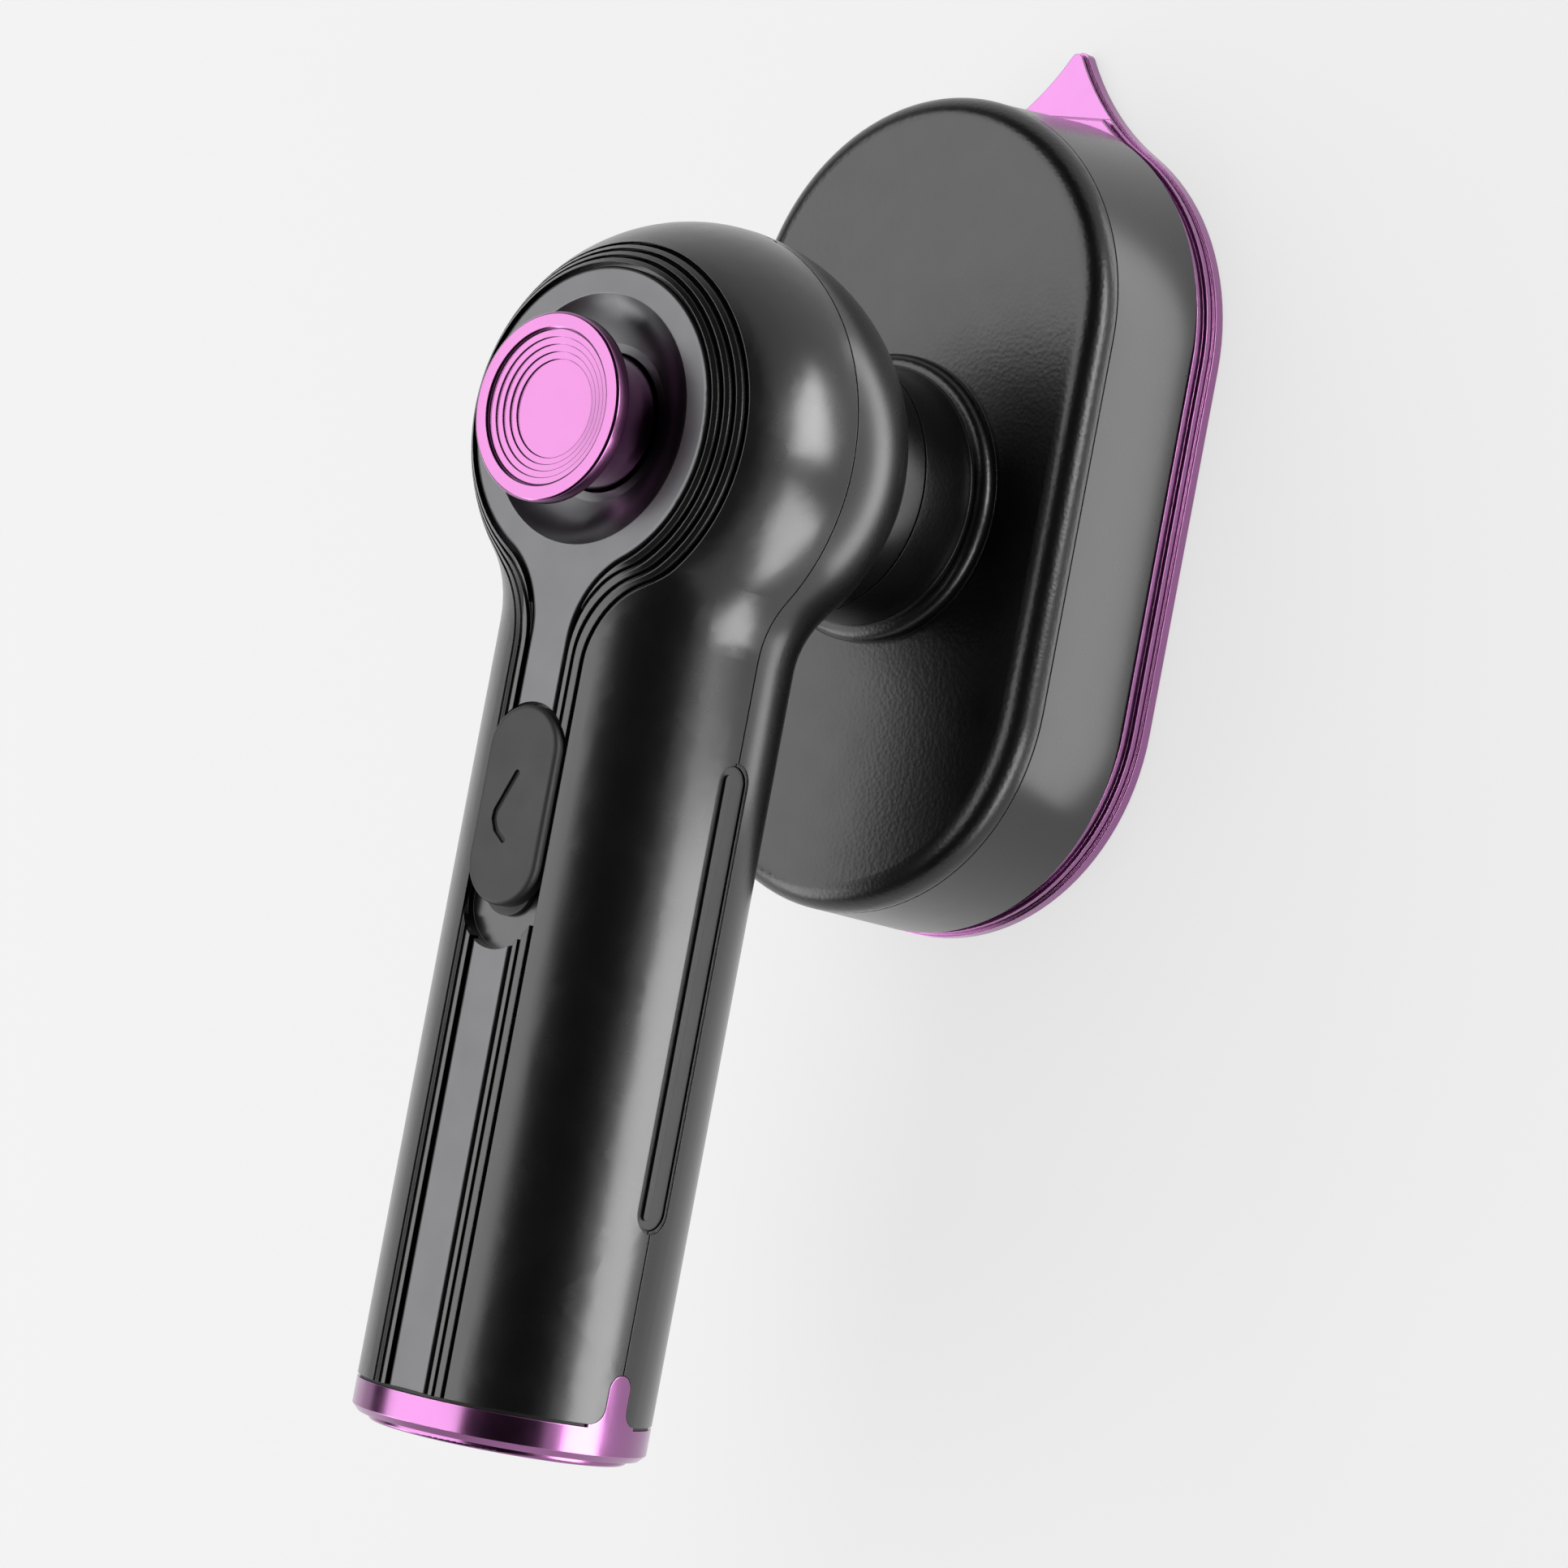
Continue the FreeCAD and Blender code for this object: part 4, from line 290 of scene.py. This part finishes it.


# Each finish's lighter edge colour is painted on rounded edges as an edge highlight.
# Real moulded, blasted and turned grains are 0.03 to 0.08 mm. Most grains below are drawn four to
# ten times as coarse, so that they show when the whole iron is in view.

# Satin ABS from a finely eroded mould with a clear lacquer: deep black with wide soft highlights.
CASING = Finish("abs_moulded_satin_black", "#050506", "#070708", 0.27, spread=0.015, ior=1.52,
                coat=0.35, coat_roughness=0.25, grain_mm=0.35, depth_mm=0.003, edge_mm=0.16,
                edge_highlight="#1c1c1e")
# Painted trim: a dark silver lacquer, whose flakes give a broad grey sheen.
TRIM = Finish("abs_painted_graphite", "#515153", "#4a4a4c", 0.33, coat=0.4, coat_roughness=0.25,
              metallic=1.0, grain_mm=0.25, depth_mm=0.002, edge_mm=0.2, edge_highlight="#77777a")
# ABS cover from an etched mould: small rounded pebbles at their real size break up the highlight.
COVER = Finish("abs_moulded_leather_grain", "#040405", "#050506", 0.30, spread=0.02, ior=1.45,
               coat=0.25, coat_roughness=0.30, texture=Texture.LEATHER, grain_mm=0.55,
               depth_mm=0.022, edge_mm=0.2, edge_highlight="#1a1a1c")
# Smooth band of the same ABS: even satin without grain.
BAND = Finish("abs_moulded_smooth_black", "#0a0a0b", "#0d0d0e", 0.28, spread=0.015, ior=1.5,
              coat=0.3, coat_roughness=0.28, grain_mm=0.3, depth_mm=0.002, edge_mm=0.15,
              edge_highlight="#222224")
# Aluminium, blasted and anodised pink, then sealed: a coloured metal sheen under a clear skin.
PINK = Finish("aluminium_anodised_pink", "#9b6396", "#935c8e", 0.22, spread=0.03, metallic=1.0,
              coat=0.4, coat_roughness=0.15, grain_mm=0.2, depth_mm=0.002, edge_mm=0.14,
              edge_highlight="#f0a8e2")
# The same anodising on a turned face: faint rings round the middle.
PINK_TURNED = Finish("aluminium_turned_anodised_pink", "#975d8e", "#905887", 0.2, spread=0.03,
                     metallic=1.0, coat=0.4, coat_roughness=0.15, texture=Texture.FIBRE,
                     lay=Lay.ROUND_Z, grain_mm=0.12, depth_mm=0.003, edge_mm=0.08, edge_highlight="#f0a8e2")
# Soft-touch coat over ABS: matte, with a faint powdery sheen.
BUTTON = Finish("abs_soft_touch_grey", "#19191a", "#1c1c1d", 0.5, ior=1.43, sheen=0.05,
                grain_mm=0.3, depth_mm=0.004, edge_mm=0.3, edge_highlight="#4c4c4e")
# Soft rubber insert, moulded: nearly black and dull.
STRIP = Finish("tpe_moulded_black", "#0a0a0b", "#0e0e0f", 0.42, coat=0.3, coat_roughness=0.3,
               grain_mm=0.3, depth_mm=0.003, edge_mm=0.2, edge_highlight="#2a2a2c")
# Brushed steel plate: fine lines along the plate.
SOLE = Finish("steel_brushed_coated", "#a9a6a8", "#9c999b", 0.3, metallic=1.0,
              texture=Texture.FIBRE, lay=Lay.ALONG_X, grain_mm=0.25, depth_mm=0.004,
              edge_highlight="#c9c7c8")
# Die-cast aluminium: pale, dull and a little pitted.
CAST = Finish("aluminium_die_cast", "#8f9092", "#7f8082", 0.5, metallic=1.0, grain_mm=0.5,
              depth_mm=0.02)
# Hard-drawn spring steel: smooth and dark.
SPRING = Finish("spring_steel_drawn", "#77787b", "#6a6b6e", 0.28, metallic=1.0,
                texture=Texture.FIBRE, grain_mm=0.3, depth_mm=0.002)
# Zinc-plated screws: pale blue-grey metal.
SCREW = Finish("steel_zinc_plated", "#a4a8ad", "#93979c", 0.34, metallic=1.0, grain_mm=0.25,
               depth_mm=0.003, edge_highlight="#c8ccd0")
# Turned brass: warm metal with faint rings.
BRASS = Finish("brass_turned", "#c39a4c", "#b38a40", 0.27, metallic=1.0, texture=Texture.FIBRE,
               lay=Lay.ROUND_Z, grain_mm=0.2, depth_mm=0.003, edge_highlight="#e0bd77")
# Moulded acetal: milky white, slippery.
ACETAL = Finish("acetal_moulded_white", "#d9d9d3", "#d0d0c9", 0.38, ior=1.48, grain_mm=0.4,
                depth_mm=0.003)
# Moulded silicone, brick red: dull and soft.
SILICONE = Finish("silicone_moulded_red", "#a5402f", "#963727", 0.55, ior=1.41, sheen=0.1,
                  grain_mm=0.4, depth_mm=0.005)
# Black silicone of seals and plugs: dull, with a faint bloom.
SEAL = Finish("silicone_moulded_black", "#101010", "#161616", 0.5, ior=1.41, sheen=0.1,
              grain_mm=0.35, depth_mm=0.004, edge_mm=0.2)
# Clear moulded tank: pale and translucent.
TANK = Finish("polycarbonate_moulded_clear", "#c6d2da", "#bccad3", 0.12, ior=1.58,
              transmission=0.75, grain_mm=1.0, depth_mm=0.002)
# Glass-epoxy board with green solder mask: woven glass shows faintly.
LAMINATE = Finish("glass_epoxy_green", "#145427", "#0f4a20", 0.3, ior=1.55, coat=0.4,
                  grain_mm=0.5, depth_mm=0.006)
# Glass-filled nylon: matte black with short fibres in the skin.
NYLON = Finish("nylon_moulded_black", "#121213", "#18181a", 0.5, ior=1.53, texture=Texture.FIBRE,
               grain_mm=0.4, depth_mm=0.006, edge_mm=0.15, edge_highlight="#262628")
# Silicone-sleeved wire: off-white and dull.
WIRE = Finish("wire_sleeved_silicone", "#cfcac2", "#c4bfb6", 0.48, ior=1.41, texture=Texture.FIBRE,
              grain_mm=0.6, depth_mm=0.01)
# Pressed mica board: warm grey flakes with a pearly glint.
MICA = Finish("mica_board_pressed", "#a8967a", "#96846a", 0.45, spread=0.12, ior=1.58, coat=0.3,
              grain_mm=1.2, depth_mm=0.02, tone_mm=5)
# Pressed ceramic: chalk white with a light glaze.
CERAMIC = Finish("ceramic_pressed_white", "#e0ddd6", "#d6d2ca", 0.35, ior=1.6, grain_mm=0.5,
                 depth_mm=0.006)


class Shape:
    """Mesh tools that the sub-assemblies share."""

    @staticmethod
    def eased(points: Sequence[Point2], radius: float, parts: int = 3) -> list[Point2]:
        """Rounds the inner corners of an open outline.

        Args:
            points: the outline's corners.
            radius: how far from each corner the rounding starts.
            parts: number of short runs in each rounding.

        Returns:
            The outline with its corners eased.
        """
        out = [points[0]]
        for before, corner, after in zip(points, points[1:], points[2:]):
            a, c, b = Vector(before), Vector(corner), Vector(after)
            reach = min(radius, (a - c).length * CORNER_SHARE, (b - c).length * CORNER_SHARE)
            start = c + (a - c).normalized() * reach
            end = c + (b - c).normalized() * reach
            for i in range(parts + 1):
                t = i / parts
                p = start * (1 - t) ** 2 + c * 2 * t * (1 - t) + end * t * t
                out.append((p.x, p.y))
        out.append(points[-1])
        return out

    @staticmethod
    def lathe(name: str, outline: Sequence[Point2], steps: int) -> bpy.types.Object:
        """Turns an outline round the swivel axis.

        Args:
            name: name of the new piece.
            outline: radius and height of each point, in metres, from axis to axis.
            steps: number of steps round.

        Returns:
            The new piece.
        """
        mesh = bmesh.new()
        rings: list[list[bmesh.types.BMVert]] = []
        for r, z in outline:
            if r < 1e-7:
                rings.append([mesh.verts.new((0.0, 0.0, z))])
                continue
            turns = [2 * math.pi * i / steps for i in range(steps)]
            rings.append([mesh.verts.new((r * math.cos(t), r * math.sin(t), z)) for t in turns])
        for low, high in zip(rings, rings[1:]):
            for i in range(steps):
                j = (i + 1) % steps
                corners = [low[i % len(low)], low[j % len(low)],
                           high[j % len(high)], high[i % len(high)]]
                mesh.faces.new(list(dict.fromkeys(corners)))
        bmesh.ops.recalc_face_normals(mesh, faces=mesh.faces)
        data = bpy.data.meshes.new(name)
        mesh.to_mesh(data)
        mesh.free()
        for face in data.polygons:
            face.use_smooth = True
        data.set_sharp_from_angle(angle=CRISP)
        piece = bpy.data.objects.new(name, data)
        bpy.context.scene.collection.objects.link(piece)
        return piece


class Dresser:
    """Gives finishes to carried-over nodes and new pieces."""

    def __init__(self) -> None:
        """Starts with no finish made."""
        self.made: dict[str, bpy.types.Material] = {}

    def material(self, finish: Finish) -> bpy.types.Material:
        """The material of a finish, made once.

        Args:
            finish: the finish wanted.

        Returns:
            Its material.
        """
        if finish.name not in self.made:
            self.made[finish.name] = finish.build()
        return self.made[finish.name]

    def dress(self, piece: bpy.types.Object, finish: Finish) -> None:
        """Puts one finish on every slot of a piece.

        Args:
            piece: the piece to dress.
            finish: its finish.
        """
        material = self.material(finish)
        if not piece.material_slots:
            piece.data.materials.append(material)
        for place in piece.material_slots:
            place.material = material
        LOG.info("%s: %s", piece.name, finish.name)

    def nodes(self, finish: Finish, *names: str) -> None:
        """Dresses carried-over nodes.

        Args:
            finish: their finish.
            *names: names of the nodes.
        """
        for name in names:
            self.dress(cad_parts[name], finish)


@dataclass
class PressKnob:
    """Pink press knob with a stepped, sunken face on a hollow stem.

    The face steps down by drop from a plain ring to a flat disc; the stem hangs from a flange.
    """

    ring: float = 1.8 * MM
    drop: float = 0.3 * MM
    steps: int = 5
    disc: float = 5.1 * MM
    flange: float = 2.3 * MM
    stem: float = 8.2 * MM
    bore: float = 6.8 * MM
    roof: float = 1.0 * MM
    edge: float = 0.3 * MM
    ease: float = 0.09 * MM
    round_steps: int = 160

    def outline(self) -> list[Point2]:
        """The knob's half section.

        Returns:
            Radius and height of each corner, from the axis inside to the axis on top.
        """
        low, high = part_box("steam_knob")
        top, radius = high.z, high.x
        foot, seat = low.z, high.z - self.flange
        ceiling = seat - self.roof
        points = [(0.0, ceiling), (self.bore, ceiling), (self.bore, foot), (self.stem, foot),
                  (self.stem, seat), (radius - self.edge, seat), (radius, seat + self.edge),
                  (radius, top - self.edge), (radius - self.edge, top), (radius - self.ring, top)]
        r, z = radius - self.ring - self.drop, top - self.drop
        tread = (r - self.disc) / self.steps
        points.append((r, z))
        for _ in range(self.steps):
            points.append((r, z - self.drop))
            r, z = r - tread, z - self.drop
            points.append((r, z))
        points.append((0.0, z))
        return points

    def build(self, dresser: Dresser) -> None:
        """Makes the knob and puts it in place of its CAD node.

        Args:
            dresser: where the finishes come from.
        """
        piece = Shape.lathe("press_knob_turned", Shape.eased(self.outline(), self.ease),
                            self.round_steps)
        dresser.dress(piece, PINK_TURNED)
        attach(piece, "knob")
        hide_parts("steam_knob")


class SubAssembly:
    """Nodes that come off the bench together, listed under their finishes."""

    pieces: ClassVar[Mapping[Finish, tuple[str, ...]]] = {}

    def build(self, dresser: Dresser) -> None:
        """Dresses every node of the group.

        Args:
            dresser: where the finishes come from.
        """
        for finish, names in self.pieces.items():
            dresser.nodes(finish, *names)


class Handle(SubAssembly):
    """Casing halves, trims, slide button, side strips and end cap."""

    pieces = {
        CASING: ("front_shell", "rear_shell"),
        TRIM: ("face_trim", "stripe_trim"),
        BUTTON: ("slide_button",),
        STRIP: ("side_strip_left", "side_strip_right"),
        PINK: ("end_cap",),
        SEAL: ("cap_gasket",),
        NYLON: ("power_inlet",),
        BRASS: ("inlet_pins",),
        SCREW: ("cap_screws", "shell_screws"),
    }


class IroningHead(SubAssembly):
    """Plate, ridged rim, band and cover."""

    pieces = {
        SOLE: ("soleplate",),
        PINK: ("sole_rim",),
        BAND: ("side_band",),
        COVER: ("head_cover",),
        SCREW: ("base_screws", "cover_screws"),
    }


class Pump(SubAssembly):
    """Hand pump under the press knob."""

    pieces = {
        ACETAL: ("pump_body", "pump_cap", "pump_plunger"),
        NYLON: ("pump_mount",),
        SEAL: ("plunger_seal",),
        SPRING: ("pump_spring",),
    }


class WaterSide(SubAssembly):
    """Tank, filler plug and tubes."""

    pieces = {
        TANK: ("water_tank",),
        SEAL: ("filler_plug",),
        SILICONE: ("suction_tube", "delivery_tube"),
    }


class Switch(SubAssembly):
    """What the slide button works, and the wires."""

    pieces = {
        ACETAL: ("switch_carriage",),
        NYLON: ("switch_body", "heater_relay"),
        LAMINATE: ("control_board",),
        SCREW: ("board_screws",),
        WIRE: ("handle_loom", "head_loom"),
    }


class Swivel(SubAssembly):
    """Hollow spindle between handle and head, with its bearing."""

    pieces = {
        BRASS: ("swivel_spindle",),
        ACETAL: ("swivel_bush", "thrust_washer"),
        SPRING: ("wave_washer", "spindle_circlip"),
        SCREW: ("stop_pin", "spindle_screws"),
    }


class SteamChamber(SubAssembly):
    """Cast block with its element, lid, water inlet and heat guards."""

    pieces = {
        CAST: ("heater_block", "chamber_lid"),
        SPRING: ("heating_element", "fuse_clip"),
        SCREW: ("element_tags", "lid_screws"),
        SILICONE: ("chamber_gasket", "nipple_oring"),
        BRASS: ("water_nipple",),
        CERAMIC: ("thermostat", "thermal_fuse", "terminal_block"),
        MICA: ("heat_shield",),
    }


@dataclass
class Softbox:
    """A rectangular lamp with its long side along X."""

    name: str
    place: Vector
    facing: Vector
    width: float
    length: float
    level: float

    def build(self) -> None:
        """Makes the lamp; its power grows with its area, so the level sets its brightness."""
        lamp = bpy.data.lights.new(self.name, "AREA")
        lamp.shape = "RECTANGLE"
        lamp.size = self.length
        lamp.size_y = self.width
        lamp.energy = self.level * self.width * self.length * math.pi
        piece = bpy.data.objects.new(self.name, lamp)
        bpy.context.scene.collection.objects.link(piece)
        back = -self.facing.normalized()
        side = Vector((1.0, 0.0, 0.0))
        side = (side - back * side.dot(back)).normalized()
        up = back.cross(side)
        turn = Matrix((side, up, back)).transposed().to_4x4()
        piece.matrix_world = Matrix.Translation(self.place) @ turn
        piece.visible_camera = False


@dataclass
class Studio:
    """Floor, backdrop, lamps and camera, in metres."""

    radius: float = 3.0
    wall: float = 0.75
    cove: float = 0.5
    cove_steps: int = 12
    floor_rings: tuple[float, ...] = (0.0, 0.25, 1.0)
    round_steps: int = 96
    paper: str = "#f0f0f0"
    shaded: str = "#dfdfdf"
    shadow_share: float = 0.2
    room: float = 0.012
    middle: tuple[float, float, float] = (-0.02, 0.0, 0.05)
    overhead_tilt_deg: float = 22.0
    overhead_reach: float = 0.9
    rear_offset: tuple[float, float, float] = (-0.55, 0.62, 0.30)
    clip: tuple[float, float] = (0.02, 20.0)
    lens_mm: float = 141.76
    sensor_mm: float = 36.0
    eye: tuple[float, float, float] = (-0.056535, -0.503151, 0.612895)
    right: tuple[float, float, float] = (0.18518, -0.74526, -0.64054)
    down: tuple[float, float, float] = (-0.98239, -0.12401, -0.13973)

    def build(self) -> None:
        """Makes the whole set."""
        self.floor()
        self.lamps()
        self.world()
        self.camera()

    def floor(self) -> None:
        """A round pale floor that curves up into a low backdrop."""
        flat = self.radius - self.cove
        outline: list[Point2] = [(r, 0.0) for r in (*self.floor_rings, flat)]
        for i in range(1, self.cove_steps + 1):
            t = i / self.cove_steps * math.pi / 2
            outline.append((flat + self.cove * math.sin(t), self.cove * (1 - math.cos(t))))
        outline.append((self.radius, self.wall))
        piece = Shape.lathe("studio_floor", outline, self.round_steps)
        piece.data.materials.append(self.paper_roll())

    def paper_roll(self) -> bpy.types.Material:
        """Pale paper that keeps the iron's shadow and is seen pale in reflections too.

        Returns:
            The material of the floor and backdrop.
        """
        material = bpy.data.materials.new("paper_seamless_white")
        material.use_nodes = True
        tree = material.node_tree
        tree.nodes.clear()
        paper = add_node(tree, "ShaderNodeBsdfDiffuse", values={"Color": linear(self.shaded)})
        glow = add_node(tree, "ShaderNodeEmission", values={"Color": linear(self.paper)})
        seen = add_node(tree, "ShaderNodeMixShader", values={0: self.shadow_share},
                        links={1: glow.outputs[0], 2: paper.outputs[0]})
        path = add_node(tree, "ShaderNodeLightPath")
        shown = add_node(tree, "ShaderNodeMath", {"operation": "MAXIMUM"},
                         links={0: path.outputs["Is Camera Ray"], 1: path.outputs["Is Glossy Ray"]})
        clear = add_node(tree, "ShaderNodeMath", {"operation": "MAXIMUM"},
                         links={0: shown.outputs[0], 1: path.outputs["Is Transmission Ray"]})
        both = add_node(tree, "ShaderNodeMixShader",
                        links={0: clear.outputs[0], 1: paper.outputs[0], 2: seen.outputs[0]})
        add_node(tree, "ShaderNodeOutputMaterial", links={"Surface": both.outputs[0]})
        return material

    def lamps(self) -> None:
        """Softboxes above and behind, and low panels at the near side."""
        middle, behind = Vector(self.middle), Vector(self.rear_offset)
        tilt = math.radians(self.overhead_tilt_deg)
        above = Vector((0.0, math.sin(tilt), math.cos(tilt))) * self.overhead_reach
        Softbox("overhead_softbox", middle + above, -above,
                width=1.2, length=1.5, level=3.1).build()
        # Each low panel lies near the floor and faces up, so it lights the iron and not the paper.
        Softbox("low_handle_panel", Vector((-0.10, -0.175, 0.034)), Vector((0.0, 0.30, 1.0)),
                width=0.17, length=0.12, level=6.6).build()
        Softbox("low_ball_panel", Vector((0.075, -0.25, 0.035)), Vector((-0.1, 0.30, 1.0)),
                width=0.20, length=0.13, level=10.0).build()
        Softbox("low_band_strip", Vector((0.014, -0.041, 0.001)), Vector((0.0, 0.15, 1.0)),
                width=0.018, length=0.11, level=2.3).build()
        Softbox("rear_softbox", middle + behind, -behind,
                width=0.35, length=0.35, level=4.2).build()

    def world(self) -> None:
        """The dim room round the set."""
        world = bpy.data.worlds.new("dim_room")
        world.use_nodes = True
        shade = world.node_tree.nodes["Background"]
        shade.inputs["Color"].default_value = (self.room, self.room, self.room, 1.0)
        bpy.context.scene.world = world

    def camera(self) -> None:
        """The camera, from its eye point and its right and down directions."""
        data = bpy.data.cameras.new("camera")
        data.lens = self.lens_mm
        data.sensor_width = self.sensor_mm
        data.clip_start, data.clip_end = self.clip
        piece = bpy.data.objects.new("camera", data)
        bpy.context.scene.collection.objects.link(piece)
        right = Vector(self.right).normalized()
        up = -Vector(self.down)
        up = (up - right * up.dot(right)).normalized()
        turn = Matrix((right, up, right.cross(up))).transposed().to_4x4()
        piece.matrix_world = Matrix.Translation(Vector(self.eye)) @ turn
        bpy.context.scene.camera = piece
        bpy.context.scene.view_settings.view_transform = "Standard"


def main() -> None:
    """Builds the set and every sub-assembly in order."""
    logging.basicConfig(level=logging.INFO, format="%(name)s %(message)s")
    dresser = Dresser()
    Studio().build()
    PressKnob().build(dresser)
    for group in (Handle(), IroningHead(), Pump(), WaterSide(), Switch(), Swivel(), SteamChamber()):
        LOG.info("%s", group.__doc__)
        group.build(dresser)


if __name__ == "__main__":
    main()
